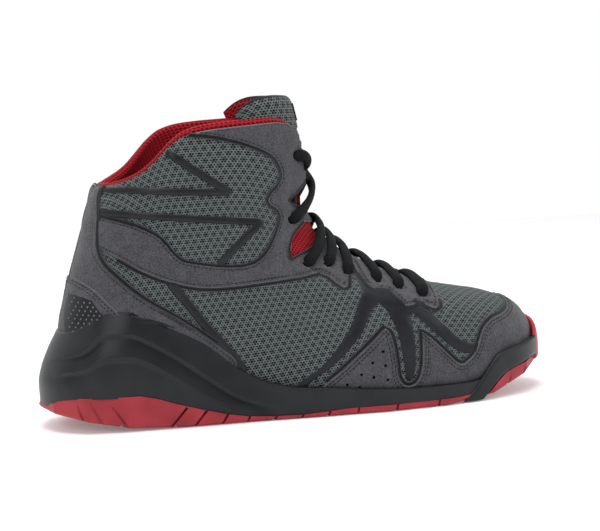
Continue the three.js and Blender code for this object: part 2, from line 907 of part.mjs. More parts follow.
function midsole() {
  const proud = (x) => RIDGE_PROUD * ridgeFade(x);
  const ridge = (name) => (x) => {
    const [bottom, top] = [treadCurve(x), cupCurve(x)];
    return bottom + (top - bottom) * read(RIDGES, name, alongShare(x));
  };
  const under = (name) => (x) => ridge(name)(x) - GAP - proud(x);
  const inset = -0.8;
  const rows = [
    { height: (x) => groundCurve(x) + GAP, grow: inset },
    { height: under("low"), grow: inset },
    { height: ridge("low"), grow: (x) => proud(x) + inset },
    { height: under("high"), grow: inset },
    { height: ridge("high"), grow: (x) => proud(x) + inset },
    { height: (x) => cupCurve(x) - 1, grow: inset },
    { height: () => height(SOLE_TOP), grow: 2 * inset },
  ];
  return formSolid(SOLE, rows, true)
    .intersect(midsoleRoom(GAP))
    .subtract(aboveCurve(cupCurve, 0))
    .add(heelCore(GAP))
    .subtract(cavity())
    .subtract(toeBand(GAP));
}

function insole() {
  return lastSolid(-UPPER_WALL - GAP)
    .subtract(belowCurve(footbedCurve, GAP))
    .subtract(aboveCurve(footbedCurve, GAP + INSOLE_WALL));
}

// The foam collar inside the upper, thinner towards the throat.
function collarLining() {
  const pad = (x) => {
    const share = Math.min(1, Math.max(0, (alongShare(x) - 24) / 8));
    return COLLAR_PAD + (COLLAR_PAD_FRONT - COLLAR_PAD) * share;
  };
  const start = -UPPER_WALL - GAP;
  const outer = lastSolid(start, 40);
  const inner = lastSolid((x) => start - pad(x), 38, FULL * 1.21);
  return outer
    .subtract(inner)
    .subtract(aboveCurve(collarCurve, COLLAR_RISE))
    .subtract(belowCurve(liningFoot, 0))
    .subtract(throatSlot(1.5));
}

// The tongue follows the front of the form, inside the lining, and rises above it in an arch.
const TONGUE = table("height half drop", [
  [35.5, 52, 0],
  [42, 58, 0],
  [50, 66, 0],
  [60, 74, 0],
  [80, 86, 0],
  [100, 97, 0],
  [104, 99, 20],
  [110, 100, 66],
]);

function tongue() {
  const depth = UPPER_WALL + COLLAR_PAD_FRONT + 5 * GAP;
  const top = FULL + alongHeight(TONGUE_RISE);
  const levels = [35.5, 37.4, 39.9, 43, 47.5, 54, 62, 73, 86, FULL, FULL + alongHeight(TONGUE_RISE / 2), top];
  const columns = 10;
  const rings = levels.map((level) => {
    const edge = edgeTurn(height(level), (TONGUE_HALF_WIDTH * read(TONGUE, "half", level)) / FULL);
    const sag = (TONGUE_RISE * read(TONGUE, "drop", level)) / FULL;
    const line = (inside) => {
      const points = [];
      for (let k = 0; k <= columns; k += 1) {
        const across = (2 * k) / columns - 1;
        const side = across < 0 ? -1 : 1;
        const turn = 1 - (1 - edge) * Math.abs(across);
        const wall = TONGUE_WALL * (1 - 0.55 * across ** 4);
        const z = height(level) - sag * Math.abs(across) ** 3;
        points.push(grown(LAST, side, turn, z, inside ? -depth - wall : -depth).toArray());
      }
      return points;
    };
    return [...line(false), ...line(true).reverse()];
  });
  return loft(rings);
}

function edgeTurn(z, wide) {
  let [low, high] = [0.5, 1];
  for (let k = 0; k < 30; k += 1) {
    const middle = (low + high) / 2;
    const point = skin(LAST, -1, middle, z);
    const off = middleLine(point.x) - point.y;
    if (off > wide) low = middle;
    else high = middle;
  }
  return low;
}

// The outward direction of the upper near a point.
function faceNormal(point) {
  const side = point.y < middleLine(point.x) ? -1 : 1;
  const turn = turnAt(LAST, point.x, point.z);
  return grown(LAST, side, turn, point.z, 1).sub(skin(LAST, side, turn, point.z));
}

// A lace strand along a smooth path that lies against the upper.
function strand(points) {
  const path = new THREE.CatmullRomCurve3(points, false, "centripetal");
  const sides = 6;
  const steps = 6;
  const rings = [];
  for (let k = 0; k <= steps; k += 1) {
    const middle = path.getPoint(k / steps);
    const along = path.getTangent(k / steps);
    const across = along.clone().cross(faceNormal(middle)).normalize();
    const out = across.clone().cross(along).normalize();
    const ring = [];
    for (let n = 0; n < sides; n += 1) {
      const angle = (-2 * Math.PI * n) / sides;
      const point = middle
        .clone()
        .addScaledVector(across, (Math.cos(angle) * LACE_WIDTH) / 2)
        .addScaledVector(out, (Math.sin(angle) * LACE_WALL) / 2);
      ring.push(point.toArray());
    }
    rings.push(ring);
  }
  return loft(rings);
}

function eyeletPoint(k, side) {
  const [x, z] = [length(EYELETS[k][0]), height(EYELETS[k][1])];
  return skin(LAST, side, turnAt(LAST, x, z), z);
}

function throatFacing(k) {
  const angle = THREE.MathUtils.degToRad(EYELETS[k][2]);
  return new THREE.Vector3(Math.cos(angle), 0, Math.sin(angle));
}

// A point of the form over a chord between two eyelets, a share of the way along it.
function overThroat(from, to, share, facing) {
  const base = from.clone().lerp(to, share);
  let [low, high] = [0, length(20)];
  for (let n = 0; n < 24; n += 1) {
    const reach = (low + high) / 2;
    const point = base.clone().addScaledVector(facing, reach);
    const off = point.y - middleLine(point.x);
    if (Math.abs(off) < halfWidth(LAST, Math.sign(off), point.x, point.z)) low = reach;
    else high = reach;
  }
  return base.addScaledVector(facing, low);
}

const laceLift = () => OVERLAY_WALL + 2 * GAP + LACE_WALL / 2;

// One crossing: two strands that leave the lower pair of eyelets, meet, and stop inside the far edge.
function laceCross(k) {
  const facing = throatFacing(k);
  const half = (side) => {
    const [from, to] = [eyeletPoint(k + 1, side), eyeletPoint(k, -side)];
    const gap = (THROAT_HALF_GAP * read(THROAT, "gap", EYELETS[k][1])) / FULL;
    const past = Math.max(gap - LACE_WIDTH, LACE_WIDTH * 0.6); // beyond the middle of the throat
    const end = 0.5 + (0.5 * past) / Math.abs(to.y);
    const points = [];
    const between = 6;
    for (let m = 0; m <= between; m += 1) {
      const share = (end * m) / between;
      const point = m ? overThroat(from, to, share, facing) : from.clone();
      const over = side < 0 ? LACE_WALL * 0.4 * (share / end) : 0;
      points.push(point.addScaledVector(faceNormal(point), laceLift() + LACE_SLACK + over));
    }
    return strand(points);
  };
  return half(-1).add(half(1));
}

// A free end: out of the top eyelet, forward over the edge of the throat and down inside it.
function laceEnd(side) {
  const start = eyeletPoint(0, side);
  const facing = throatFacing(0);
  const far = eyeletPoint(0, -side);
  const lower = (point, drop) => point.setZ(point.z - drop);
  const path = [0, 0.09, 0.18, 0.26, 0.31].map((share, m) => {
    const point = m ? overThroat(start, far, share, facing) : start.clone();
    return lower(point.addScaledVector(faceNormal(point), laceLift() + LACE_SLACK), LACE_WIDTH * 0.14 * m);
  });
  return strand(path);
}

// Colours and finishes
const finish = (color, roughness) => new THREE.MeshStandardMaterial({ color, roughness, metalness: 0 });
const SUEDE = finish(0x58575c, 0.92);
const MESH = finish(0x5f6a66, 0.85);
const RED_MESH = finish(0xb8141c, 0.85);
const RED_RUBBER = finish(0xa8262c, 0.5);
const BLACK_FOAM = finish(0x22262a, 0.6);
const BLACK_RUBBER = finish(0x1f2326, 0.5);
const DARK_FILM = finish(0x2c2e33, 0.45);
const CORD = finish(0x17181a, 0.8);
const SOCKLINER = finish(0x26262a, 0.9);

const boot = new THREE.Group();

function add(name, solid, material) {
  const mesh = new THREE.Mesh(toGeometry(solid), material);
  mesh.name = name;
  boot.add(mesh);
}

add("outsole", outsole(), RED_RUBBER);
add("midsole", midsole(), BLACK_FOAM);
add("insole", insole(), SOCKLINER);
add("upper", upper(), MESH);
add("heel_counter", overlay("heelCounter", OVERLAY_WALL, 0), SUEDE);
add("toe_guard", overlay("toeGuard", OVERLAY_WALL, 0), SUEDE);
for (const [label, side] of [
  ["lateral", -1],
  ["medial", 1],
]) {
  add(`toe_foxing_${label}`, toeFoxing(side), BLACK_RUBBER);
  add(`lace_stay_${label}`, overlay("laceStay", OVERLAY_WALL, side), SUEDE);
  add(`ankle_band_${label}`, overlay("ankleBand", OVERLAY_WALL, side, ["heelCounter", "laceStay"]), SUEDE);
  add(`web_${label}`, overlay("web", FILM_WALL, side, ["laceStay", "toeGuard", "ankleBand"]), DARK_FILM);
}
for (const name of Object.keys(BARS)) {
  add(`${name}_lateral`, bar(name, -1), DARK_FILM);
  add(`${name}_medial`, bar(name, 1), DARK_FILM);
}
add("collar_lining", collarLining(), RED_MESH);
add("tongue", tongue(), MESH);
EYELETS.slice(1).forEach((_, k) => add(`lace_cross_${k + 1}`, laceCross(k), CORD));
add("lace_end_lateral", laceEnd(-1), CORD);
add("lace_end_medial", laceEnd(1), CORD);

// The origin is on the ground, under the middle of the shoe's own box.
const box = new THREE.Box3().setFromObject(boot);
boot.position.set(-(box.min.x + box.max.x) / 2, -(box.min.y + box.max.y) / 2, 0);

export default boot;
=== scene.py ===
# %% [markdown]
# A right high-top boxing boot: grey open mesh and suede, dark pressed film, a black foam cup and a red
# rubber tread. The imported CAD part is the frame, and its solids are never changed. This lesson lays finer
# pieces over them. Each could be sculpted by hand, but here all are worked out from the same two forms, the
# last and the sole, so that every panel, seam and strand fits its neighbours.

# %% Load the frame
import math

import bpy
import numpy as np
from mathutils import Matrix, Vector, geometry


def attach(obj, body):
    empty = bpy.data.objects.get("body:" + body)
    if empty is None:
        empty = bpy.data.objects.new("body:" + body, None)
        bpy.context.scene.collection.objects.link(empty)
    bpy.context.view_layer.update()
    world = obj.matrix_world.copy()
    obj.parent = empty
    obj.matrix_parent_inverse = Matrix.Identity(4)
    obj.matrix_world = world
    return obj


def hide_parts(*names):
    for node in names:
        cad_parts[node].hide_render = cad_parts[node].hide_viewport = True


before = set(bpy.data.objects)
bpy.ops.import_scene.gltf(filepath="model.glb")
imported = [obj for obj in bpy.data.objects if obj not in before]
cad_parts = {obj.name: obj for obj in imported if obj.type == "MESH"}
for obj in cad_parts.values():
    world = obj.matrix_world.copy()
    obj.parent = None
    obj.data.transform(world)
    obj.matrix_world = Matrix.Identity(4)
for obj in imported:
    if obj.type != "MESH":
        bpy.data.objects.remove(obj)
bpy.context.view_layer.update()

# %% [markdown]
# A shoemaker pulls the upper over a last and moulds the sole, so the boot has two forms. They could be two
# sculpted meshes, but tables of sizes are easier to read, to correct and to measure against the photo.
# Sizes are in millimetres from the back of the heel and up from the ground. A table has named columns and
# is read off smoothly. A form is a stack of closed outlines: how far back and forward it reaches at each
# height, how round its ends are, and how wide it is at four stations.

# %% Sizes and tables
SHOE_LENGTH = 300.0
SOLE_WIDTH = 102.0
COLLAR_HEIGHT = 163.0
MIDDLE = np.array([150.27, 1.06, 0.0])  # the middle of the part's box, which is the row frame's origin
STATIONS = {"heel": 12.0, "waist": 36.0, "ball": 67.0, "toe": 88.0}  # hundredths of the length
SIDES = {"lateral": -1, "medial": 1}
ARCH_MIDDLE, ARCH_REACH = 40.0, 22.0  # where the inner side is drawn in, in the same hundredths
AHEAD_OF_WIDEST = 0.45  # the turn from which a form only narrows towards the toe
HALVINGS = 30  # steps of a search by halves


def hermite(at, value, x):
    """Value at x, with no overshoot between rows. Value has one row for each at, and may have columns."""
    at, value = np.asarray(at, float), np.asarray(value, float)
    if value.ndim == 1:
        value = np.repeat(value[:, None], len(x), axis=1)
    step = np.diff(value, axis=0) / np.diff(at)[:, None]
    both = step[:-1] + step[1:]
    product = step[:-1] * step[1:]
    inner = np.where(product > 0, 2 * product / np.where(product > 0, both, 1), 0)
    slope = np.concatenate([step[:1], inner, step[-1:]])
    x = np.clip(x, at[0], at[-1])
    i = np.clip(np.searchsorted(at, x, side="right") - 1, 0, len(at) - 2)
    column = np.arange(len(x))
    span = at[i + 1] - at[i]
    t = (x - at[i]) / span
    rest = 1 - t
    ends = value[i, column] * rest**2 * (1 + 2 * t) + value[i + 1, column] * t**2 * (3 - 2 * t)
    return ends + span * t * rest * (slope[i, column] * rest - slope[i + 1, column] * t)


class Table:
    def __init__(self, names, rows):
        self.rows = np.array(rows, float)
        self.names = names.split()

    def read(self, name, x):
        x = np.atleast_1d(np.asarray(x, float))
        return hermite(self.rows[:, 0], self.rows[:, self.names.index(name)], x)

# %% [markdown]
# A last is a closed body whose outline changes with height. It could be lofted through curves, but a
# formula for one point is easier to reuse, because every later piece asks it for a place or for the way out
# of its skin. Turn runs from 0 at the heel to 1 at the toe, side is -1 outside and 1 inside, and the middle
# line swings inwards towards the toe, which makes this a right boot.

# %% A form
SWING = Table("along out", [[0, 0], [45, 0], [68, 1.2], [86, 5.2], [100, 9]])


def middle_line(x):
    return SWING.read("out", np.asarray(x) / SHOE_LENGTH * 100) * SOLE_WIDTH / 100


def rounded(share):
    rest = 1 - np.clip(share, 0, 1)
    return np.sqrt(1 - rest * rest)


class Form(Table):
    """A closed form, whose sizes are in hundredths of the boot's."""

    def reach(self, name, z):
        return self.read(name, np.asarray(z) / COLLAR_HEIGHT * 100) * SHOE_LENGTH / 100

    def half(self, side, x, z):
        level, along = z / COLLAR_HEIGHT * 100, x / SHOE_LENGTH * 100
        values = np.stack([self.read(name, level) for name in STATIONS])
        breadth = hermite(list(STATIONS.values()), values, along)
        near = np.clip(1 - ((along - ARCH_MIDDLE) / ARCH_REACH) ** 2, 0, None)
        drawn = np.where(side > 0, self.read("arch", level) * near**2, 0)
        heel = rounded((x - self.reach("back", z)) / self.reach("heelRound", z))
        toe = rounded((self.reach("front", z) - x) / self.reach("toeRound", z))
        return (breadth - drawn) * SOLE_WIDTH / 100 * heel * toe

    def skin(self, side, turn, z):
        side, turn, z = np.broadcast_arrays(*[np.asarray(v, float) for v in (side, turn, z)])
        side, turn, z = side.ravel(), turn.ravel(), z.ravel()
        back, front = self.reach("back", z), self.reach("front", z)
        x = back + (front - back) * (1 - np.cos(np.pi * turn)) / 2
        return np.stack([x, middle_line(x) + side * self.half(side, x, z), z], axis=1)

    def turn(self, x, z):
        x, z = np.broadcast_arrays(np.asarray(x, float), np.asarray(z, float))
        back, front = self.reach("back", z.ravel()), self.reach("front", z.ravel())
        return np.arccos(1 - 2 * np.clip((x.ravel() - back) / (front - back), 0, 1)) / np.pi

    def turn_at(self, side, z, half):
        """The turn, ahead of the widest place, at which the form is half that wide."""
        low, high = np.full(len(z), AHEAD_OF_WIDEST), np.ones(len(z))
        for _ in range(HALVINGS):
            middle = (low + high) / 2
            x = self.skin(side, middle, z)[:, 0]
            wide = self.half(np.full(len(z), float(side)), x, z) > half
            low, high = np.where(wide, middle, low), np.where(wide, high, middle)
        return low

    def normal(self, side, turn, z):
        side, turn, z = np.broadcast_arrays(*[np.asarray(v, float) for v in (side, turn, z)])
        side, turn, z = side.ravel(), turn.ravel(), z.ravel()
        dt, dz = 1e-3, 0.05
        inner = np.clip(turn, dt, 1 - dt)
        across = self.skin(side, inner + dt, z) - self.skin(side, inner - dt, z)
        up = self.skin(side, turn, z + dz) - self.skin(side, turn, z - dz)
        out = np.cross(across, up) * -side[:, None]
        out[(turn < dt) | (turn > 1 - dt), 1] = 0
        return out / np.linalg.norm(out, axis=1, keepdims=True)

# %% [markdown]
# These are the two bodies themselves. Each row is one outline: its height, how far back and forward it
# reaches, how round its heel and toe are, its breadth at four stations, and how much the arch is drawn in.
# A scan would be truer, but there is only a photo, so the side is read from it and the breadths follow a
# usual last.

# %% The last and the sole
LAST = Form("height back front heelRound toeRound heel waist ball toe arch", [
    [-6, 6.6, 95.5, 11.3, 16.5, 27.5, 32.0, 42.0, 35.0, 7.0],
    [2.5, 6.0, 96.4, 11.3, 16.7, 28.4, 33.5, 43.5, 36.5, 7.0],
    [12.3, 4.5, 98.2, 11.3, 16.7, 30.4, 36.3, 46.6, 40.5, 6.0],
    [20.9, 4.3, 97.9, 11.4, 16.7, 31.4, 37.7, 46.8, 41.0, 4.0],
    [27.6, 4.4, 95.9, 11.6, 16.9, 32.4, 38.2, 44.8, 39.0, 2.0],
    [32.5, 4.8, 91.9, 11.8, 17.5, 32.8, 38.2, 42.4, 37.5, 1.0],
    [36.2, 5.2, 86.2, 12.0, 18.6, 33.3, 37.8, 40.4, 36.5, 0],
    [39.9, 5.8, 78.4, 12.2, 19.6, 33.8, 37.4, 39.4, 36.0, 0],
    [45.4, 6.6, 70.0, 12.6, 20.8, 34.3, 36.8, 38.4, 36.0, 0],
    [52.8, 7.7, 63.0, 13.0, 21.8, 34.8, 36.6, 37.6, 36.0, 0],
    [61.3, 9.2, 57.8, 13.4, 21.2, 35.2, 36.6, 37.2, 36.0, 0],
    [71.2, 10.6, 55.0, 13.6, 19.6, 35.3, 36.6, 37.0, 36.0, 0],
    [82.2, 13.1, 54.1, 13.8, 18.2, 35.4, 36.7, 37.0, 36.0, 0],
    [94.5, 16.5, 53.4, 14.2, 17.4, 35.8, 37.0, 37.4, 36.0, 0],
    [109, 19.0, 51.6, 14.6, 17.0, 36.8, 38.0, 38.0, 36.0, 0],
    [122, 20.2, 50.0, 14.8, 17.0, 37.8, 39.0, 39.0, 36.0, 0],
])
SOLE = Form("height back front heelRound toeRound heel waist ball toe arch", [
    [-2, 0.6, 99.4, 12.4, 18.0, 37.2, 41.0, 49.6, 43.6, 9.0],
    [3, 0.3, 99.6, 12.6, 18.0, 37.6, 41.4, 50.0, 44.0, 8.6],
    [9, 0.1, 99.9, 12.8, 18.0, 38.0, 41.6, 50.0, 44.2, 7.4],
    [15, 0, 100, 12.8, 18.0, 38.0, 41.6, 50.0, 44.4, 6.0],
    [21, 0.7, 99.6, 12.6, 17.8, 37.6, 41.2, 49.8, 44.4, 4.6],
    [27, 2.2, 97.5, 12.4, 17.8, 36.8, 41.0, 48.2, 42.8, 2.6],
    [33, 3.8, 93.6, 12.2, 18.2, 36.0, 40.8, 45.4, 41.0, 1.4],
    [40.5, 5.1, 80.6, 12.4, 20.0, 36.0, 40.0, 42.6, 39.6, 0],
])
print("outlines in the last:", len(LAST.rows), "and in the sole:", len(SOLE.rows))

# %% [markdown]
# The tread's top, the cup's rim, the collar and the throat are lines that the eye follows from the side.
# They could be cut into a finished mesh, but as curves they can also place other things: a panel is tucked
# below the rim, a lining is rolled over the collar, and a lace dives under the throat's edge.

# %% Curves seen from the side
def side_curve(rows):
    """A curve seen from the side, in hundredths of the length and of the collar height."""
    source = Table("along height", rows)
    return lambda x: source.read("height", np.asarray(x) / SHOE_LENGTH * 100) * COLLAR_HEIGHT / 100


tread_top = side_curve([
    [0, 8.4], [1.6, 9.6], [3.4, 11.6], [6, 12.1], [16.6, 11.9], [19.6, 10.6], [23, 8.4], [27, 6.2],
    [32, 3.7], [36, 2.3], [41, 1.6], [46, 1.4], [50, 1.8], [55, 2.4], [77, 2.5], [84, 3.9], [88, 5.9],
    [93, 8.9], [97, 11.7], [100, 14.5],
])
cup_top = side_curve([
    [0, 32], [3.5, 33], [5.5, 34], [8.4, 37.4], [10.2, 40.5], [15, 40.6], [18.5, 37.6], [22.4, 33.8],
    [26, 30.6], [29.6, 26.4], [33, 21.2], [37, 16.2], [41, 12.8], [46, 10.6], [52, 9.8], [60, 8.4],
    [70, 7.4], [79, 7.2], [84, 8.2], [88, 9.8], [92, 11.8], [96, 13.8], [100, 15.6],
])
collar = side_curve([
    [0, 80.5], [12, 80.8], [15.2, 81.8], [18.7, 83.6], [21.8, 86.2], [24.3, 89.6], [26.8, 93.8],
    [29.4, 96.8], [34, 98.6], [41, 99.6], [45, 100], [47.4, 99.4], [49.2, 97.4], [50.4, 94.4], [51.6, 89],
    [60, 84],
])
throat = Table("height gap", [
    [39.5, 0], [40.2, 28], [42, 48], [46, 66], [56, 76], [75, 88], [100, 100], [150, 100],
])
THROAT_HALF_GAP = 15.0


def throat_gap(z):
    return throat.read("gap", np.asarray(z) / COLLAR_HEIGHT * 100) * THROAT_HALF_GAP / 100


print("collar, highest:", round(float(collar(np.array([135.0]))[0]), 1), "mm")

# %% [markdown]
# The outlines were drawn from the photo as if it were a square side view, but its camera is turned a little
# to the toe, so whatever lies near the middle of the boot is seen too far forward. Every outline could be
# drawn again. One table of small moves, read off by height and by place, is shorter, and keeps all layers
# together, because every point of every piece goes through it. It is nothing at the sole and the heel.

# %% Lean of the instep and collar
LEAN_PLACES = [30, 60, 90, 140, 175, 215, 240, 265, 295]
LEAN = Table("height a b c d e f g h i", [
    [25, 0, 0, 0, 0, 0, 0, 0, 0, 0],
    [45, 0, 0, 0, -1.5, -3, -3, 0, 3, 0],
    [60, 0, 0, -1, -4, -6, -6, -1, 4, 0],
    [75, 0, -0.5, -2, -6, -8, -5, 2, 2, 0],
    [90, 0, -0.8, -3, -7.5, -9, -5, 2, 0, 0],
    [110, 0, -1, -4, -7, -9, -5, 0, 0, 0],
    [130, 0, -3, -6, -4.5, -5.5, -3, 0, 0, 0],
    [150, 0, -6.5, -8, -2, -1.5, -1, 0, 0, 0],
    [163, 0, -6.5, -7, -1, 0, 0, 0, 0, 0],
    [180, 0, 0, 0, 0, 0, 0, 0, 0, 0],
])


def leaned(points):
    """The points of the upper, moved back or forward as LEAN says."""
    points = np.array(points, float)
    moves = np.stack([LEAN.read(name, points[:, 2]) for name in LEAN.names[1:]])
    points[:, 0] += hermite(LEAN_PLACES, moves, points[:, 0])
    return points


most = np.abs(LEAN.rows[:, 1:]).max()
print("the lean moves a point by at most", most, "mm")

# %% [markdown]
# The photo looks at the outer side from a little in front of square and slightly from above, and the
# picture is rolled a little. A camera can be set by eye, but then no outline can be compared. This lens and
# place were fitted to the sole's length, the ground line and the tongue's tip, and stay as they are while
# the boot is shaped.

# %% Camera
TARGET = Vector((-0.0003, -0.0011, 0.085))
YAW, RISE, ROLL = math.radians(-16), math.radians(5.5), math.radians(2.3)
DISTANCE = 1.0
away = Vector((math.sin(YAW) * math.cos(RISE), -math.cos(YAW) * math.cos(RISE), math.sin(RISE)))
level_right = Vector((0, 0, 1)).cross(away).normalized()
level_up = away.cross(level_right)
right = level_right * math.cos(ROLL) - level_up * math.sin(ROLL)
up = level_up * math.cos(ROLL) + level_right * math.sin(ROLL)
camera_data = bpy.data.cameras.new("camera")
camera = bpy.data.objects.new("camera", camera_data)
bpy.context.scene.collection.objects.link(camera)
camera.matrix_world = Matrix.Translation(TARGET + away * DISTANCE) @ Matrix(
    (right, up, away)
).transposed().to_4x4()
camera_data.sensor_width = 36
camera_data.lens = 104.9
camera_data.shift_x = 0.0103
camera_data.shift_y = -0.0137
camera_data.clip_end = 20
bpy.context.scene.camera = camera
print("camera at", [round(v, 4) for v in camera.location])

# %% [markdown]
# This is a product photo on white: one broad soft light above, weaker ones from the camera's side, over a
# pale floor that runs out of the picture. A plain white world would do for the shadows, but rubber would
# mirror it and look grey. So the world is white behind the boot and dim on the camera's side, as in a
# studio with the lights off in the room. The floor is stage, not boot.

# %% Floor and soft studio light
def area_light(name, place, size, power):
    data = bpy.data.lights.new(name, "AREA")
    data.shape = "DISK"
    data.size = size
    data.energy = power
    light = bpy.data.objects.new(name, data)
    light.location = place
    light.rotation_euler = (TARGET - Vector(place)).to_track_quat("-Z", "Y").to_euler()
    bpy.context.scene.collection.objects.link(light)


area_light("light_top", (-0.1, -0.15, 1.25), 0.8, 11.0)
area_light("light_front", (-0.75, -1.05, 0.7), 0.6, 4.5)
area_light("light_toe", (1.0, -0.5, 0.55), 0.5, 3.5)
area_light("light_back", (-0.3, 1.1, 0.8), 0.8, 2.0)
world = bpy.data.worlds.new("world")
world.use_nodes = True
world.node_tree.nodes["Background"].inputs[0].default_value = (1, 1, 1, 1)
direction = world.node_tree.nodes.new("ShaderNodeTexCoord").outputs["Generated"]
apart = world.node_tree.nodes.new("ShaderNodeSeparateXYZ")
fall = world.node_tree.nodes.new("ShaderNodeMapRange")
world.node_tree.links.new(direction, apart.inputs[0])
world.node_tree.links.new(apart.outputs[1], fall.inputs[0])
DIM_FROM, WHITE_FROM, DIM, WHITE = -0.35, 0.3, 0.35, 1.0
for socket, value in zip(fall.inputs[1:5], (DIM_FROM, WHITE_FROM, DIM, WHITE)):
    socket.default_value = value
world.node_tree.links.new(fall.outputs[0], world.node_tree.nodes["Background"].inputs[1])
bpy.context.scene.world = world
bpy.context.scene.view_settings.view_transform = "Standard"

floor_mesh = bpy.data.meshes.new("floor")
FLOOR_SIZE, FLOOR_BACK = 6.0, 1.15
corners = [
    (-FLOOR_SIZE, -FLOOR_SIZE), (FLOOR_SIZE, -FLOOR_SIZE),
    (FLOOR_SIZE, FLOOR_BACK), (-FLOOR_SIZE, FLOOR_BACK),
]
floor_mesh.from_pydata([(x, y, 0) for x, y in corners], [], [(0, 1, 2, 3)])
floor = bpy.data.objects.new("floor", floor_mesh)
bpy.context.scene.collection.objects.link(floor)

# %% [markdown]
# A finish is mostly sums on numbers that change over a surface. Nodes could be placed and linked one by
# one, which takes dozens of lines for each finish. Here Value wraps a node's output, so that + and * make
# Math nodes, and Shader makes every node in one place. A number that is the same all over is set straight
# on its socket.

# %% Shader arithmetic
class Value:
    def __init__(self, shader, socket):
        self.shader = shader
        self.socket = socket

    def math(self, operation, *others):
        return self.shader.node("ShaderNodeMath", [self, *others], operation=operation)

    def __add__(self, other):
        return self.math("ADD", other)

    def __radd__(self, other):
        return self.math("ADD", other)

    def __sub__(self, other):
        return self.math("SUBTRACT", other)

    def __rsub__(self, other):
        return self.shader.node("ShaderNodeMath", [other, self], operation="SUBTRACT")

    def __mul__(self, other):
        return self.math("MULTIPLY", other)

    def __rmul__(self, other):
        return self.math("MULTIPLY", other)

    def __truediv__(self, other):
        return self.math("DIVIDE", other)

    def ramp(self, low, high):
        """0 below low, 1 above high, and smooth between."""
        inputs = {"Value": self, "From Min": low, "From Max": high}
        return self.shader.node("ShaderNodeMapRange", inputs, interpolation_type="SMOOTHSTEP")

# %% [markdown]
# A finish also needs nodes that aren't sums. Each kind has its own sockets and settings, and a slip in one
# is hard to see. So one method makes any of them: it takes the node's type, its settings, and the values or
# links of its sockets. The short methods below it name what these finishes ask for again and again: a place
# in millimetres, the cloth's map, noise, and a blend of two colours.

# %% Nodes in one place
class Shader:
    def __init__(self, name):
        self.material = bpy.data.materials.new(name)
        self.material.use_nodes = True
        self.tree = self.material.node_tree
        self.surface = self.tree.nodes["Principled BSDF"]

    def node(self, kind, inputs=(), output=0, **settings):
        made = self.tree.nodes.new(kind)
        for key, value in settings.items():
            setattr(made, key, value)
        named = inputs.items() if isinstance(inputs, dict) else enumerate(inputs)
        for key, value in named:
            self.feed(made.inputs[key], value)
        return Value(self, made.outputs[output])

    def feed(self, socket, value):
        if isinstance(value, Value):
            self.tree.links.new(value.socket, socket)
        elif isinstance(value, tuple) and len(value) == 3 and socket.type == "RGBA":
            socket.default_value = (*value, 1)
        else:
            socket.default_value = value

    def place(self):
        """Where a point is, in millimetres of the row frame."""
        where = self.node("ShaderNodeTexCoord", output="Object")
        return self.node("ShaderNodeVectorMath", [where, (1000, 1000, 1000)], operation="MULTIPLY")

    def split(self, vector):
        made = self.tree.nodes.new("ShaderNodeSeparateXYZ")
        self.feed(made.inputs[0], vector)
        return [Value(self, socket) for socket in made.outputs]

    def weave(self):
        """Along and across the cloth, in millimetres, from the mesh's own map."""
        return self.split(self.node("ShaderNodeUVMap", uv_map="cloth"))[:2]

    def noise(self, vector, scale, detail=2.0, rough=0.5):
        inputs = {"Vector": vector, "Scale": scale, "Detail": detail, "Roughness": rough}
        return self.node("ShaderNodeTexNoise", inputs)

    def blend(self, factor, low, high):
        made = self.tree.nodes.new("ShaderNodeMix")
        made.data_type = "RGBA"
        for key, value in ((0, factor), (6, low), (7, high)):
            self.feed(made.inputs[key], value)
        return Value(self, made.outputs[2])

    def attribute(self, name):
        return self.node("ShaderNodeAttribute", output="Fac", attribute_name=name)

    def finish(self, height=None, depth=0.1, strength=1.0, **values):
        """Height is a Value; depth is its size in millimetres."""
        if height is not None:
            inputs = {"Strength": strength, "Distance": depth / 1000, "Height": height}
            values["Normal"] = self.node("ShaderNodeBump", inputs)
        for key, value in values.items():
            self.feed(self.surface.inputs[key.replace("_", " ")], value)
        return self.material

# %% [markdown]
# The upper and its lining are a knitted spacer fabric: rows of small holes, set like bricks, over a dark
# backing, with a wider figure of closer and more open knit. Real holes would need millions of faces, and a
# picture would blur and tie the cloth to one size. So the holes are worked out in the shader from a flat
# map of the cloth in millimetres, which each panel's mesh carries, and a little noise makes the rows wander
# as knit does.

# %% Open mesh
def from_hole(along, across, pitch, row):
    """How far a point is from the middle of the nearest hole, with the holes laid like bricks."""
    line = (across / row).math("FLOOR")
    shift = line.math("MODULO", 2.0).math("ABSOLUTE") * 0.5
    u = ((along / pitch + shift).math("FRACT") - 0.5) * pitch
    v = ((across / row).math("FRACT") - 0.5) * row
    return (u * u + v * v * 1.3).math("SQRT")


FIGURE_PITCH, FIGURE_ROW = 4.7, 3.3


def open_mesh(name, thread, backing, pitch, figure):
    shader = Shader(name)
    along, across = shader.weave()
    wobble = shader.noise(shader.place(), 0.35) - 0.5
    along, across = along + wobble * 0.5, across + wobble * 0.4
    knit = 1.0 - from_hole(along, across, FIGURE_PITCH, FIGURE_ROW).ramp(0.7, 2.1)
    size = 1.0 - figure * 0.55 + knit * figure
    openness = 1.0 - (from_hole(along, across, pitch, pitch * 0.8) / size).ramp(pitch * 0.27, pitch * 0.43)
    tone = shader.noise(shader.place(), 0.9, 3.0) * 0.5 + 0.75
    fibre = shader.noise(shader.place(), 9.0, 2.0)
    lit = shader.blend(tone * 0.5 + fibre * 0.7 - 0.3, tuple(c * 0.45 for c in thread), thread)
    lit = shader.blend(knit * figure, lit, tuple(c * 0.4 for c in thread))
    colour = shader.blend(openness, lit, backing)
    height = (1.0 - openness) + fibre * 0.3 + knit * 0.15
    return shader.finish(
        height, 0.4, 0.9, Base_Color=colour, Roughness=0.78 + openness * 0.15,
        Sheen_Weight=0.05, Sheen_Roughness=0.4, Specular_IOR_Level=0.15,
    )


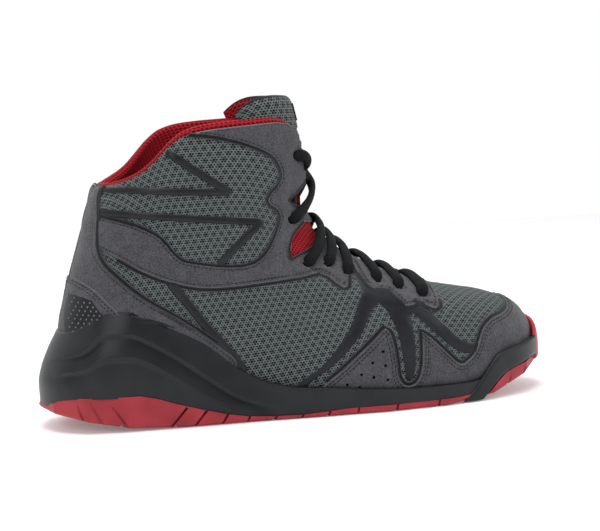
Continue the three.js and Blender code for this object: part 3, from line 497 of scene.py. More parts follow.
GREY_MESH = open_mesh("grey_mesh", (0.150, 0.174, 0.172), (0.004, 0.005, 0.006), 1.6, 0.45)
RED_MESH = open_mesh("red_mesh", (0.50, 0.010, 0.020), (0.10, 0.002, 0.005), 2.3, 0.0)
print("nodes in the open mesh:", len(GREY_MESH.node_tree.nodes))

# %% [markdown]
# Suede is a nap of fine short fibres: mottled at a few millimetres, dusty at a tenth, with almost no gloss.
# Along a panel's border the colour is made paler: a painted highlight where its rounded edge catches the
# light, drawn from how far a point lies from the panel's border, which the mesh carries as "edge". Film,
# rubber and foam all come out of a mould, so one recipe serves them, with its own tone, gloss and grain for
# each. The braid is two sets of slanting ribs that pass over one another. Hair strands and modelled weave
# were left out, because at this distance bump shows the same and exports well.

# %% Suede, film, rubber, foam, braid, thread
def suede(name, dark, light, edge_highlight_tone=(0.20, 0.20, 0.205)):
    shader = Shader(name)
    where = shader.place()
    mottle = shader.noise(where, 0.14, 4.0, 0.6)
    nap = shader.noise(where, 1.25, 3.0, 0.7)
    dust = shader.noise(where, 4.6, 2.0, 0.6)
    # Painted highlight: near a panel's border the colour is blended towards a paler tone, in place of the
    # light that its rounded edge catches.
    border = shader.attribute("edge")
    cut = 1.0 - border.ramp(0.25, 0.7)
    tone = (mottle * 0.16 + nap * 0.55 + dust * 0.6).ramp(0.48, 0.84)
    colour = shader.blend(tone, dark, light)
    colour = shader.blend(cut * 0.55, colour, edge_highlight_tone)
    return shader.finish(
        nap * 0.8 + dust * 0.6 + mottle * 0.3, 0.24, 0.9, Base_Color=colour, Roughness=0.9,
        Sheen_Weight=0.12, Sheen_Roughness=0.5, Specular_IOR_Level=0.15,
    )


def moulded(name, dark, light, rough, grain=0.05, coat=0.0, shine=0.3):
    shader = Shader(name)
    where = shader.place()
    broad = shader.noise(where, 0.06, 3.0)
    fine = shader.noise(where, 5.5, 2.0)
    scuff = shader.noise(where, 0.5, 6.0, 0.7).ramp(0.62, 0.8)
    colour = shader.blend(broad.ramp(0.3, 0.7), dark, light)
    return shader.finish(
        fine + broad, grain, 0.6, Base_Color=colour, Roughness=rough + scuff * 0.12 + fine * 0.06,
        Coat_Weight=coat, Coat_Roughness=0.35, Specular_IOR_Level=shine,
    )


def braid(name, dark, light):
    shader = Shader(name)
    along, across = shader.weave()
    rib = 0.62
    leftward = ((along + across * 0.9) / rib * math.pi).math("SINE")
    rightward = ((along - across * 0.9) / rib * math.pi).math("SINE")
    over = leftward.math("MAXIMUM", rightward)
    fuzz = shader.noise(shader.place(), 9.0, 3.0)
    colour = shader.blend((over * 0.4 + fuzz * 0.6).ramp(0.1, 0.9), dark, light)
    return shader.finish(
        over + fuzz * 0.5, 0.22, 0.8, Base_Color=colour, Roughness=0.72,
        Specular_IOR_Level=0.12,
    )


GREY_SUEDE = suede("grey_suede", (0.022, 0.022, 0.025), (0.105, 0.102, 0.112))
# The black trim's paler third colour is the painted highlight along the edges of its strips and of the
# upper's rim.
BLACK_TRIM = suede("black_trim", (0.004, 0.0045, 0.005), (0.010, 0.011, 0.012), (0.07, 0.07, 0.075))
DARK_FILM = moulded("dark_film", (0.008, 0.009, 0.0115), (0.014, 0.0155, 0.019), 0.42, 0.03, 0.0, 0.2)
BLACK_FOAM = moulded("black_foam", (0.0045, 0.0055, 0.007), (0.0085, 0.010, 0.012), 0.38, 0.05, 0.0, 0.33)
BLACK_RUBBER = moulded("black_rubber", (0.006, 0.007, 0.008), (0.011, 0.012, 0.014), 0.36, 0.03, 0.0, 0.25)
RED_RUBBER = moulded("red_rubber", (0.26, 0.014, 0.023), (0.35, 0.024, 0.035), 0.48, 0.04, 0.06)
SOCKLINER = moulded("sockliner", (0.012, 0.012, 0.013), (0.03, 0.03, 0.032), 0.85, 0.12)
BLACK_LACE = braid("black_lace", (0.002, 0.0022, 0.0026), (0.011, 0.012, 0.0135))
THREAD = moulded("thread", (0.006, 0.006, 0.007), (0.016, 0.016, 0.018), 0.7, 0.05, 0.0, 0.15)
DOT_RUBBER = moulded("dot_rubber", (0.09, 0.095, 0.10), (0.14, 0.145, 0.15), 0.5)
HOLE_SHADE = moulded("hole_shade", (0.001, 0.001, 0.001), (0.002, 0.002, 0.002), 0.9, 0.01, 0.0, 0.03)
PALE_FLOOR = moulded("pale_floor", (0.86, 0.87, 0.88), (0.9, 0.9, 0.91), 0.7)
floor_surface = PALE_FLOOR.node_tree.nodes["Principled BSDF"]
floor_surface.inputs["Emission Color"].default_value = (1, 1, 1, 1)
floor_surface.inputs["Emission Strength"].default_value = 0.16
floor_mesh.materials.append(PALE_FLOOR)
print("finishes:", len(bpy.data.materials))

# %% [markdown]
# Every mesh is made from arrays of points in the boot's sizes. Blender's own tools could draw each piece,
# but points in arrays can be measured, moved and joined in one line. One helper leans them, moves them to
# the row frame and gives them their map and attributes. Another attaches each piece to the body it rides
# on and hides the solids that it stands for.

# %% Mesh helpers
def make_mesh(name, points, faces, materials, cloth=None, edge=None, face_material=None):
    mesh = bpy.data.meshes.new(name)
    mesh.from_pydata((leaned(points) - MIDDLE) / 1000, [], [tuple(map(int, f)) for f in faces])
    for material in materials if isinstance(materials, list) else [materials]:
        mesh.materials.append(material)
    mesh.polygons.foreach_set("use_smooth", np.ones(len(mesh.polygons), bool))
    if face_material is not None:
        mesh.polygons.foreach_set("material_index", np.asarray(face_material, np.int32))
    if cloth is not None:
        corner = np.zeros(len(mesh.loops), np.int32)
        mesh.loops.foreach_get("vertex_index", corner)
        layer = mesh.uv_layers.new(name="cloth")
        layer.data.foreach_set("uv", np.asarray(cloth, np.float32)[corner].ravel())
    if edge is not None:
        made = mesh.attributes.new("edge", "FLOAT", "POINT")
        made.data.foreach_set("value", np.asarray(edge, np.float32))
    mesh.update()
    thing = bpy.data.objects.new(name, mesh)
    bpy.context.scene.collection.objects.link(thing)
    return thing


def belongs(thing, slot, *nodes):
    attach(thing, "root")
    if nodes:
        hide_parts(*nodes)
    return thing


def grid_faces(rows, columns, closed=False, flip=False):
    """Quads between points that are numbered row by row."""
    across = columns if closed else columns - 1
    r, c = np.meshgrid(np.arange(rows - 1), np.arange(across), indexing="ij")
    a, b = r * columns + c, r * columns + (c + 1) % columns
    quads = np.stack([a, b, b + columns, a + columns], axis=-1).reshape(-1, 4)
    return quads[:, ::-1] if flip else quads


def weld(points, faces, *extras, grain=1e-3):
    """One vertex for all that share a place, and no face that has collapsed."""
    _, first, where = np.unique(np.round(points / grain).astype(int), axis=0, return_index=True,
                                return_inverse=True)
    where = where.ravel()
    kept = []
    for face in faces:
        mapped = [int(where[i]) for i in face]
        face_ring = [v for i, v in enumerate(mapped) if v != mapped[i - 1]]
        if len(face_ring) > 2 and len(set(face_ring)) == len(face_ring):
            kept.append(face_ring)
    return (points[first], kept, *[extra[first] for extra in extras])

# %% [markdown]
# Real cloth isn't as smooth as a form. The ankle is padded, so its mesh swells inside its seam, and a boot
# creases where it bends, at the ankle and over the toes. A cloth simulation or a noise texture could
# wrinkle it, but not where the foot does. So each crease is placed one by one, as a soft trough with a low
# ridge beside it. All layers share this relief, so none of them parts from another.

# %% Relief of the upper
ANKLE_PANEL = np.array([
    [37, 131], [60, 133], [70, 139], [78, 147], [86, 156], [95, 158], [106, 156], [117, 152], [125, 149],
    [133, 144], [138, 137], [139, 131], [137, 127], [133, 122], [133, 118], [139, 115], [141, 111],
    [139, 106], [135, 99], [131, 93], [124, 88], [116, 86], [102, 87], [89, 89], [79, 91], [74, 94],
    [70, 100], [65, 105], [56, 110], [45, 114], [36, 116],
], float)
CREASES = Table("x0 z0 x1 z1 deep wide side", [
    [146, 96, 122, 84, 0.9, 3.2, 0],
    [150, 84, 132, 74, 0.8, 3.0, 0],
    [158, 90, 140, 90, 0.6, 2.6, 1],
    [178, 74, 150, 60, 0.7, 3.6, 0],
    [120, 66, 96, 52, 0.5, 4.5, 0],
    [234, 62, 222, 44, 0.7, 3.2, 0],
    [243, 60, 233, 44, 0.6, 3.0, -1],
    [250, 58, 246, 44, 0.45, 2.8, 1],
    [60, 104, 44, 90, 0.6, 4.0, 0],
    [30, 112, 36, 98, 0.5, 3.4, 0],
    [112, 150, 96, 136, 0.6, 4.0, 0],
    [130, 116, 108, 112, 0.7, 3.6, 0],
]).rows
ANKLE_SWELL, SWELL_RUN = 1.5, 11  # how far the padded ankle stands out, and how soon
OTHER_SIDE = 0.35  # how much of a one-sided crease the other side has
print("creases:", len(CREASES))


def segment_distance(points, starts, ends):
    """The nearest distance from each point to any of the segments, in as many axes as they have."""
    best = np.full(len(points), np.inf)
    run = ends - starts
    size = np.maximum((run**2).sum(1), 1e-12)
    for low in range(0, len(points), 4000):
        part = points[low:low + 4000]
        gap = part[:, None] - starts[None]
        share = np.clip((gap * run[None]).sum(2) / size, 0, 1)
        gap -= share[:, :, None] * run[None]
        best[low:low + 4000] = np.sqrt((gap**2).sum(2).min(1))
    return best


def inside(points, starts, ends):
    """Whether each flat point lies within the closed outline that these segments make."""
    count = np.zeros(len(points), int)
    for (ax, ay), (bx, by) in zip(starts, ends):
        straddles = (ay > points[:, 1]) != (by > points[:, 1])
        if ay != by:
            count += straddles & (points[:, 0] < (bx - ax) * (points[:, 1] - ay) / (by - ay) + ax)
    return count % 2 == 1


def in_outline(points, outline):
    return inside(points, outline, np.roll(outline, -1, axis=0))


def relief(side, x, z):
    flat = np.stack([x, z], axis=1)
    starts, ends = ANKLE_PANEL, np.roll(ANKLE_PANEL, -1, axis=0)
    within = inside(flat, starts, ends)
    depth = np.where(within, segment_distance(flat, starts, ends), 0)
    height = ANKLE_SWELL * rounded(depth / SWELL_RUN)
    height += 0.35 * np.sin(x / 17 + 0.6 * side) * np.sin(z / 13 + x / 31)
    height += 0.15 * np.sin(x / 5.3 + 1.7 * side + z / 7.1) * np.sin(z / 6.1 - x / 11)
    for x0, z0, x1, z1, deep, wide, on in CREASES:
        strength = np.where(side == on, 1.0, OTHER_SIDE) if on else 1.0
        run = np.array([x1 - x0, z1 - z0])
        size = np.hypot(*run)
        along = ((x - x0) * run[0] + (z - z0) * run[1]) / size**2
        off = ((x - x0) * -run[1] + (z - z0) * run[0]) / size - 2.2 * np.sin(along * 2.6)
        fade = np.clip(np.minimum(along + 0.1, 1.15 - along) * 3, 0, 1) ** 2
        trough = np.exp(-((off / wide) ** 2)) - 0.55 * np.exp(-(((off - 1.9 * wide) / wide) ** 2))
        height -= deep * fade * strength * trough
    return height

# %% [markdown]
# A pattern cutter draws panels flat. Here they are drawn as the photo shows them, from the side. Points
# could be pushed sideways on to the form, but near the toe and the heel the form turns away and they would
# be stretched. So each form has a plane, where one way follows its turn and the other climbs its front:
# outlines are laid on it, meshed there, and lifted back.

# %% A plane for each form
class Plane:
    def __init__(self, form, wide, low, high, with_relief):
        self.form = form
        self.wide = wide
        self.relief = with_relief
        self.z = np.arange(low, high, 0.2)
        front = form.reach("front", self.z)
        run = np.hypot(np.diff(self.z), np.diff(front) * 0.9)
        self.v = np.concatenate([[0], np.cumsum(run)])

    def climb(self, z):
        """How far up the plane a height lies."""
        return np.interp(z, self.z, self.v)

    def height_of(self, v):
        return np.interp(v, self.v, self.z)

    def lay(self, seen):
        """Points seen from the side, laid on the plane; those past either end go past its seam."""
        seen = np.asarray(seen, float)
        turn = self.form.turn(seen[:, 0], seen[:, 1])
        u = np.where(turn <= 0, -15, np.where(turn >= 1, self.wide + 15, turn * self.wide))
        return np.stack([u, self.climb(seen[:, 1])], axis=1)

    def seams(self):
        """What lies past the two seams, down the middle of the heel and of the toe."""
        tall = self.v[-1] + 90
        return [
            np.array([[self.wide, -80], [self.wide + 70, -80], [self.wide + 70, tall], [self.wide, tall]]),
            np.array([[-70, -80], [0, -80], [0, tall], [-70, tall]]),
        ]

    def lift(self, flat, side, height=0.0):
        """Points of the plane, back on the form and raised by height along its normal."""
        turn = np.clip(flat[:, 0] / self.wide, 0, 1)
        z = self.height_of(flat[:, 1])
        sides = np.full(len(flat), float(side))
        points = self.form.skin(sides, turn, z)
        rise = np.asarray(height) + (relief(sides, points[:, 0], z) if self.relief else 0)
        return points + self.form.normal(sides, turn, z) * np.atleast_1d(rise)[:, None]

    def stretch(self, flat, side):
        """Millimetres on the form for one on the plane, along and up."""
        e = 0.05
        at = [np.clip(flat + step, [0, 0], [self.wide, self.v[-1]]) for step in
              ([e, 0], [-e, 0], [0, e], [0, -e])]
        places = [self.form.skin(side, p[:, 0] / self.wide, self.height_of(p[:, 1])) for p in at]
        across = np.linalg.norm(places[0] - places[1], axis=1) / np.maximum(at[0] - at[1], 1e-9)[:, 0]
        rising = np.linalg.norm(places[2] - places[3], axis=1) / np.maximum(at[2] - at[3], 1e-9)[:, 1]
        return np.clip(np.stack([across, rising], axis=1), 0.15, 6)


UPPER = Plane(LAST, 330.0, -6, 196, True)
SIDEWALL = Plane(SOLE, 340.0, -2, 66, False)
print("the planes climb, mm:", round(UPPER.v[-1]), round(SIDEWALL.v[-1]))

# %% [markdown]
# A pattern has long flowing lines and a few true corners. A spline through the given points would round
# the corners too, and straight segments would make every curve a polygon. So the line flows through its
# points, except where it turns by more than a given angle, and there it stays sharp.

# %% Flowing outlines
def smooth(points, closed=True, sharp=48, step=0.9):
    """A flowing line through given points, left sharp where it turns by more than sharp degrees."""
    points = np.asarray(points, float)
    count = len(points)
    before = points - np.roll(points, 1, axis=0)
    after = np.roll(points, -1, axis=0) - points
    size = np.maximum(np.linalg.norm(after, axis=1), 1e-6)
    cosine = (before * after).sum(1) / np.maximum(np.linalg.norm(before, axis=1) * size, 1e-9)
    corner = np.degrees(np.arccos(np.clip(cosine, -1, 1))) > sharp
    tangent = (np.roll(points, -1, axis=0) - np.roll(points, 1, axis=0)) / 2
    line = []
    for i in range(count if closed else count - 1):
        j = (i + 1) % count
        reach = np.linalg.norm(points[j] - points[i])
        ends = []
        for k in (i, j):
            straight = points[j] - points[i]
            loose = corner[k] or (not closed and k in (0, count - 1))
            unit = straight if loose else tangent[k]
            ends.append(unit / max(np.linalg.norm(unit), 1e-9) * reach)
        pieces = max(2, int(np.ceil(reach / step)))
        t = (np.arange(pieces) / pieces)[:, None]
        line.append(
            points[i] * (2 * t**3 - 3 * t**2 + 1) + ends[0] * (t**3 - 2 * t**2 + t)
            + points[j] * (3 * t**2 - 2 * t**3) + ends[1] * (t**3 - t**2)
        )
    if not closed:
        line.append(points[-1:])
    return np.concatenate(line)

# %% [markdown]
# A panel is the part of one outline that no other outline takes away, as with a die that stamps through
# leather. Boolean modifiers on thin curved sheets are slow and leave slivers, so the cutting is done flat,
# with Blender's own triangulator. It also makes the mesh: rows of points follow the border, for its rounded
# edge and for the groove that stitches pull, and an even grid fills the rest.

# %% The border of a panel
SAME_PLACE = 1e-5


def without_repeats(loop):
    return loop[np.linalg.norm(loop - np.roll(loop, 1, axis=0), axis=1) > 0.02]


def border_of(keep, drop=()):
    """The border of a flat outline less the others, as points and pairs with the inside on the left."""
    loops = [without_repeats(loop) for loop in (keep, *drop)]
    points, edges = [], []
    for loop in loops:
        start, count = len(points), len(loop)
        points += [Vector(p) for p in loop]
        edges += [(start + i, start + (i + 1) % count) for i in range(count)]
    found = geometry.delaunay_2d_cdt(points, edges, [], 0, SAME_PLACE)
    vertices, made = found[0], found[2]
    centre = np.array(vertices)[np.array(made)].mean(1)
    taken = np.zeros(len(made), bool)
    for loop in loops[1:]:
        taken |= in_outline(centre, loop)
    wanted = in_outline(centre, loops[0]) & ~taken
    kept = [face for face, ok in zip(made, wanted) if ok]
    pairs = {}
    for face in kept:
        a, b, c = (np.array(vertices[i]) for i in face)
        turn = 1 if (b[0] - a[0]) * (c[1] - a[1]) - (b[1] - a[1]) * (c[0] - a[0]) > 0 else -1
        ring = face if turn > 0 else face[::-1]
        for i, v in enumerate(ring):
            pair = (ring[i - 1], v)
            if (v, ring[i - 1]) in pairs:
                del pairs[(v, ring[i - 1])]
            else:
                pairs[pair] = True
    used = sorted({v for pair in pairs for v in pair})
    number = {v: i for i, v in enumerate(used)}
    flat = np.array([vertices[v] for v in used])
    return flat, np.array([[number[a], number[b]] for a, b in pairs])

# %% [markdown]
# With its border known, a panel needs an even mesh. Blender's Remesh would soften the corners, and a plain
# grid would leave steps. Rows of points are set at chosen depths inside the border, measured on the real
# form and not on the plane, and the triangulator joins them with a grid behind. Each point then gets its
# height from its distance to the border.

# %% The mesh of a panel
def panel_mesh(plane, side, keep, drop, profile, rows, spacing):
    """Points, triangles, map and border distance of one panel on one side."""
    border, pairs = border_of(keep, [*drop, *plane.seams()])
    starts, ends = border[pairs[:, 0]], border[pairs[:, 1]]
    on_seam = np.all((np.stack([starts[:, 0], ends[:, 0]]) < 1e-3), axis=0)
    on_seam |= np.all(np.stack([starts[:, 0], ends[:, 0]]) > plane.wide - 1e-3, axis=0)
    solid = plane.lift(border, side)
    real = [solid[pairs[~on_seam, k]] for k in (0, 1)]
    stretch = plane.stretch(starts, side)
    step = (ends - starts) * stretch
    inward = np.stack([-step[:, 1], step[:, 0]], axis=1)
    inward /= np.maximum(np.linalg.norm(inward, axis=1, keepdims=True), 1e-9)
    free = ~on_seam
    inner = []
    for depth in rows:
        ring = (starts + ends)[free] / 2 + inward[free] / stretch[free] * depth
        ring = ring[inside(ring, starts, ends)]
        if len(ring):
            real_depth = segment_distance(plane.lift(ring, side), *real)
            inner.append(ring[np.abs(real_depth - depth) < 0.16 * depth + 0.03])
    low, high = border.min(0), border.max(0)
    across = np.arange(low[0] + spacing / 2, high[0], spacing)
    rising = np.arange(low[1] + spacing / 2, high[1], spacing * 0.87)
    u, v = np.meshgrid(across, rising)
    u = u + (np.arange(len(rising)) % 2)[:, None] * spacing / 2
    grid = np.stack([u.ravel(), v.ravel()], axis=1)
    grid = grid[inside(grid, starts, ends)]
    if len(grid):
        deep = segment_distance(plane.lift(grid, side), *real)
        grid = grid[deep > (rows[-1] if rows else 0) + spacing * 0.3]
    flat = np.concatenate([border, *inner, grid])
    edges = [tuple(map(int, pair)) for pair in pairs]
    found = geometry.delaunay_2d_cdt([Vector(p) for p in flat], edges, [], 0, SAME_PLACE)
    flat = np.array([tuple(v) for v in found[0]])
    triangles = np.array(found[2])
    centre = flat[triangles].mean(1)
    triangles = triangles[inside(centre, starts, ends)]
    a, b, c = (flat[triangles[:, k]] for k in range(3))
    area = (b[:, 0] - a[:, 0]) * (c[:, 1] - a[:, 1]) - (b[:, 1] - a[:, 1]) * (c[:, 0] - a[:, 0])
    triangles = triangles[np.abs(area) > 1e-7]
    area = area[np.abs(area) > 1e-7]
    backwards = (area < 0) == (side < 0)
    triangles[backwards] = triangles[backwards][:, ::-1]
    depth = segment_distance(plane.lift(flat, side), *real)
    points = plane.lift(flat, side, profile(depth))
    return points, triangles, cloth_map(plane, side, flat), depth


def cloth_map(plane, side, flat):
    """Along the boot, and up and over it, in millimetres: how a cloth would be laid."""
    turn = np.clip(flat[:, 0] / plane.wide, 0, 1)
    place = plane.form.skin(side, turn, plane.height_of(flat[:, 1]))
    over = np.abs(place[:, 1] - middle_line(place[:, 0]))
    return np.stack([place[:, 0], place[:, 2] - 0.9 * over], axis=1)

# %% [markdown]
# Suede, film and rubber panels differ only in thickness, in how round their edge is, and in whether
# stitches press a groove beside it. So one function makes them all: it turns those sizes into a profile,
# asks for rows of points where the profile changes, and joins both sides of the boot in one mesh.

# %% Panels from outlines
PANEL_SUNK = 0.35  # how far a panel's cut edge goes into what it lies on
PRESSED_DEEP, PRESSED_WIDE = 0.28, 0.45  # the groove that a row of stitches pulls into suede
PANEL_SPACING = 2.0


def panel(name, outline, material, thick, sides=(-1, 1), base=0.0, drop=(), plane=UPPER, pressed=(),
          round_off=0.7, sharp=48):
    """Laid panels: one mesh for all the sides given."""
    def profile(depth):
        height = base - PANEL_SUNK + (thick + PANEL_SUNK) * rounded(depth / round_off)
        for at in pressed:
            height -= PRESSED_DEEP * np.exp(-(((depth - at) / PRESSED_WIDE) ** 2))
        return height

    rows = [0.12, round_off * 0.5, round_off]
    for at in pressed:
        rows += [at - 0.5, at, at + 0.5]
    keep = plane.lay(smooth(outline, sharp=sharp))
    return laid(name, plane, keep, drop, material, profile, sorted(rows), PANEL_SPACING, sides)


def laid(name, plane, keep, drop, material, profile, rows, spacing, sides=(-1, 1)):
    parts = [panel_mesh(plane, side, keep, drop, profile, rows, spacing) for side in sides]
    start, faces = 0, []
    for points, triangles, _, _ in parts:
        faces.append(triangles + start)
        start += len(points)
    joined = [np.concatenate([part[k] for part in parts]) for k in (0, 2, 3)]
    points, faces, cloth, edge = weld(joined[0], np.concatenate(faces), joined[1], joined[2])
    return make_mesh(name, points, faces, material, cloth, edge)

# %% [markdown]
# Some outlines cut every panel: the collar's edge, the throat, two wedges where the ankle flexes, the
# eyelets, and the rim of the foam cup, under which each panel is tucked and glued. They are kept in one
# list, so that the mesh, the suede and the film all end on the same line and the lace's holes go through
# every layer.

# %% What cuts the panels
EYELETS = [
    (148.2, 144.3), (148.2, 108.2), (155.4, 84.1), (169.2, 82.5), (180.0, 76.6), (196.8, 71.1),
    (208.2, 66.5), (220.8, 61.6),
]
EYELET_RADIUS = 2.2
FLEX_NOTCHES = [
    [(145.8, 119.8), (174, 141), (174, 112.5), (154.8, 114.9)],
    [(145.8, 87.2), (148.8, 100.2), (158.4, 106.8), (174, 104.3), (168, 93.7)],
]
TUCK = 4.0


def throat_turn(side, z, wider=0.0):
    """The turn at which the form is as wide as the throat."""
    z = np.asarray(z, float)
    return LAST.turn_at(side, z, throat_gap(z) + wider)


def flat_curve(curve, start, end, rise, step=2.0):
    x = np.linspace(start, end, int((end - start) / step) + 2)
    return UPPER.lay(np.stack([x, curve(x) + rise], axis=1))


def circle(x, z, radius, side):
    centre = UPPER.lay([(x, z)])
    scale = UPPER.stretch(centre, side)
    angle = np.arange(14) * 2 * np.pi / 14
    return centre + np.stack([np.cos(angle), np.sin(angle)], axis=1) * radius / scale


THROAT_Z = np.concatenate([np.arange(64.5, 70, 0.5), np.arange(70, 190, 2.0)])
THROAT_LINE = np.stack([throat_turn(-1, THROAT_Z) * UPPER.wide, UPPER.climb(THROAT_Z)], axis=1)
PAST_TOE = UPPER.wide + 20
ABOVE_COLLAR = np.concatenate([
    [[-22, UPPER.climb(131.2)]], flat_curve(collar, 43, 157, 0),
    [[PAST_TOE, 281.5], [PAST_TOE, 400], [-22, 400]],
])
IN_THROAT = np.concatenate([THROAT_LINE, [[PAST_TOE + 2, 402], [PAST_TOE + 2, THROAT_LINE[0, 1]]]])
BELOW_CUP = np.concatenate([
    [[-24, -20]], [[PAST_TOE + 4, -20]], [[PAST_TOE + 4, UPPER.climb(20.5)]],
    flat_curve(cup_top, 15, 292, -TUCK)[::-1], [[-24, UPPER.climb(48)]],
])
NOTCHES = [UPPER.lay(smooth(points, sharp=20)) for points in FLEX_NOTCHES]
HOLES = [circle(x, z, EYELET_RADIUS, -1) for x, z in EYELETS]
CUTS = [ABOVE_COLLAR, IN_THROAT, BELOW_CUP, *NOTCHES, *HOLES]
print("outlines that cut:", len(CUTS))

# %% [markdown]
# The mesh upper is one thin hollow shell, sewn up at the heel and stretched over the last. It could be two
# skins joined at their rims, but only its outer face and its cut edges are ever seen, because the lining
# covers the inside. So one skin is meshed, and a Solidify modifier gives it its wall, with the rim in the
# colour of the binding.

# %% Upper shell
UPPER_WALL = 2.0


def settle(thing):
    """The thing's mesh with its modifiers in it, and no modifier left."""
    depsgraph = bpy.context.evaluated_depsgraph_get()
    mesh = bpy.data.meshes.new_from_object(thing.evaluated_get(depsgraph))
    thing.modifiers.clear()
    thing.data = mesh
    return thing


def base_profile(depth):
    return -0.5 * (1 - rounded(depth / 1.2))


WHOLE_PLANE = np.array([[-10, -10], [UPPER.wide + 10, -10], [UPPER.wide + 10, 390], [-10, 390]], float)
EDGE_ROWS, MESH_SPACING = [0.4, 1.2], 3.0
upper = laid(
    "upper_mesh", UPPER, WHOLE_PLANE, CUTS, [GREY_MESH, BLACK_TRIM], base_profile, EDGE_ROWS, MESH_SPACING,
)
wall = upper.modifiers.new("wall", "SOLIDIFY")
wall.thickness = UPPER_WALL / 1000
wall.offset = -1
wall.use_rim = True
wall.material_offset_rim = 1
settle(upper)
belongs(upper, "grey_mesh", "upper")
print("upper faces:", len(upper.data.polygons))

# %% [markdown]
# Suede panels are die-cut and sewn over the mesh: the heel counter with a second piece over it, the band
# round the ankle panel, the tab that carries the lower eyelets, and the toe guard that climbs the side in a
# triangle. They could be painted on the mesh as colour, but their thickness catches the light along every
# edge. So each is a mesh of its own, a little over a millimetre thick, with its outline drawn in the
# boot's sizes.

# %% Suede panels
HEEL_EDGE = [
    (49, 141), (45.5, 136.5), (42, 133), (39.5, 130), (37, 124), (35.5, 115), (34, 106), (34, 97),
    (36.5, 90), (42, 83.5), (49, 76.5), (57, 70), (67, 63.5), (75, 58.5), (84, 52), (94, 44), (104, 35),
]
HEEL = [(-12, 30), (-12, 141), *HEEL_EDGE, (104, 26)]
HEEL_SEAM = [(-2, 85.5), (12, 85.5), (19, 84), (25, 81.5), (31, 77), (37, 70), (43, 63), (48, 57)]
HEEL_CAP = [(-12, 85.5), *HEEL_SEAM, (52, 48), (-12, 44)]
PANEL_EDGE = [
    (36, 116.5), (45, 114), (56, 110), (65, 105), (70, 100), (74, 95), (79, 91), (89, 88.5), (102, 86.5),
    (115, 86), (124, 88), (131, 93), (135.5, 99), (139, 106), (140.5, 111), (138, 115), (133, 118),
    (131.2, 121), (133, 124.5), (137, 128.5), (139, 132), (138, 137), (133, 144), (125, 149), (117, 152.5),
    (106, 156), (95, 158), (85, 158.5), (76, 153),
]
BAND_EDGE = [
    (184, 84), (181.5, 79), (179.5, 74.5), (177.5, 70.5), (175, 70), (170.5, 73.5), (166, 77.5), (161, 79),
    (153, 78), (141, 77), (128, 76), (111, 75), (92, 75), (78, 77.5), (67, 81), (54, 87), (43, 94),
    (33, 99.5),
]
BAND = [(84, 172), (190, 172), (190, 94), *BAND_EDGE, *PANEL_EDGE]
TAB_EDGE = [
    (186, 90), (187.2, 82), (187.6, 74), (190.5, 68.5), (196, 66.4), (201, 65), (205, 60.5), (208.5, 57),
    (212, 57.2), (216, 58.2), (220.5, 57), (224.5, 54.6), (227, 56), (228.4, 60), (229, 64.6),
]
TAB = [*TAB_EDGE, (226, 78), (200, 100)]
GUARD_EDGE = [
    (151, 14.5), (153.5, 18.2), (161, 24), (173, 33), (184, 41), (191.5, 46.5), (193.6, 44), (194.2, 37),
    (194.2, 28), (194.6, 19.5), (197.2, 14.8), (200.5, 13.2), (204.6, 14.3), (207.6, 18.5), (209.6, 27),
    (211, 35), (212.4, 43.2), (216, 40), (221, 34.5), (227, 27.6), (231, 23.8), (234.6, 22.4), (239, 24.6),
    (243, 28), (245.6, 34.5), (248.6, 41), (254, 45.3), (262, 47.4), (269, 50), (272.4, 53), (270, 57.4),
]
GUARD = [*GUARD_EDGE, (262, 66), (330, 66), (330, -10), (151, -10)]
SUEDE = 1.15

heel = panel("heel_suede", HEEL, GREY_SUEDE, SUEDE, drop=CUTS, pressed=(1.9,), sharp=60)
belongs(heel, "grey_suede", "heel_counter")
heel_cap = panel("heel_cap_suede", HEEL_CAP, GREY_SUEDE, 0.9, base=1.0, drop=CUTS, pressed=(1.7,))
belongs(heel_cap, "grey_suede")
for label, side in SIDES.items():
    band = panel(f"ankle_band_suede_{label}", BAND, GREY_SUEDE, SUEDE, (side,), drop=CUTS,
                 pressed=(1.8,), sharp=60)
    belongs(band, "grey_suede", f"ankle_band_{label}")
    tab = panel(f"lace_tab_suede_{label}", TAB, GREY_SUEDE, 1.3, (side,), base=0.1, drop=CUTS,
                pressed=(1.7,), sharp=70)
    belongs(tab, "grey_suede", f"lace_stay_{label}")
guard = panel("toe_guard_suede", GUARD, GREY_SUEDE, SUEDE, drop=CUTS, pressed=(1.5, 3.2), sharp=60)
belongs(guard, "grey_suede", "toe_guard")
print("toe guard faces:", len(guard.data.polygons))

# %% [markdown]
# A dark film is laid under the tab and runs down to the sole in three tapering fins. On the real boot it is
# cut from a sheet and welded on by heat, so its edges are low and softly rounded, and it has no stitches.
# It is a panel like the suede ones, only thinner and rounder at its border, which is what tells the two
# apart in the light.

# %% Pressed film
FILM = [
    (184, 78), (184, 68.5), (181, 62.5), (174, 51.3), (163, 39), (150, 27), (137, 18.6), (130, 12),
    (139, 12), (144, 18.4), (153, 24.5), (162, 31), (175, 42), (184, 51.6), (189.4, 58), (192.4, 59.6),
    (195, 57.6), (197, 51), (198, 42), (198.2, 29), (198.8, 19), (200.8, 15.4), (203.6, 17.4), (205.8, 28),
    (207.6, 41), (209, 51), (211, 52.4), (214.6, 48.4), (220, 42), (227, 34), (235, 28.6), (246, 27.4),
    (248, 34), (241, 33.4), (233.6, 37.2), (227.4, 45), (221.4, 54), (219, 64), (200, 74),
]
for label, side in SIDES.items():
    film = panel(f"film_web_{label}", FILM, DARK_FILM, 0.6, (side,), base=0.05, drop=CUTS, sharp=62,
                 round_off=1.3)
    belongs(film, "dark_film", f"web_{label}")
print("film faces:", len(film.data.polygons))

# %% [markdown]
# The lace is a flat braid that tension draws into an oval. It comes up through a lower eyelet, crosses the
# throat over the tongue, dives under the far edge and comes up through the next eyelet. A Bezier curve with
# a bevel could be drawn for each strand, but it would have to be fitted by eye fourteen times. Here each
# strand is swept along a path that lies against the form, so it hugs the foot's shape as a pulled lace
# does, and it is squeezed where it goes through an eyelet.

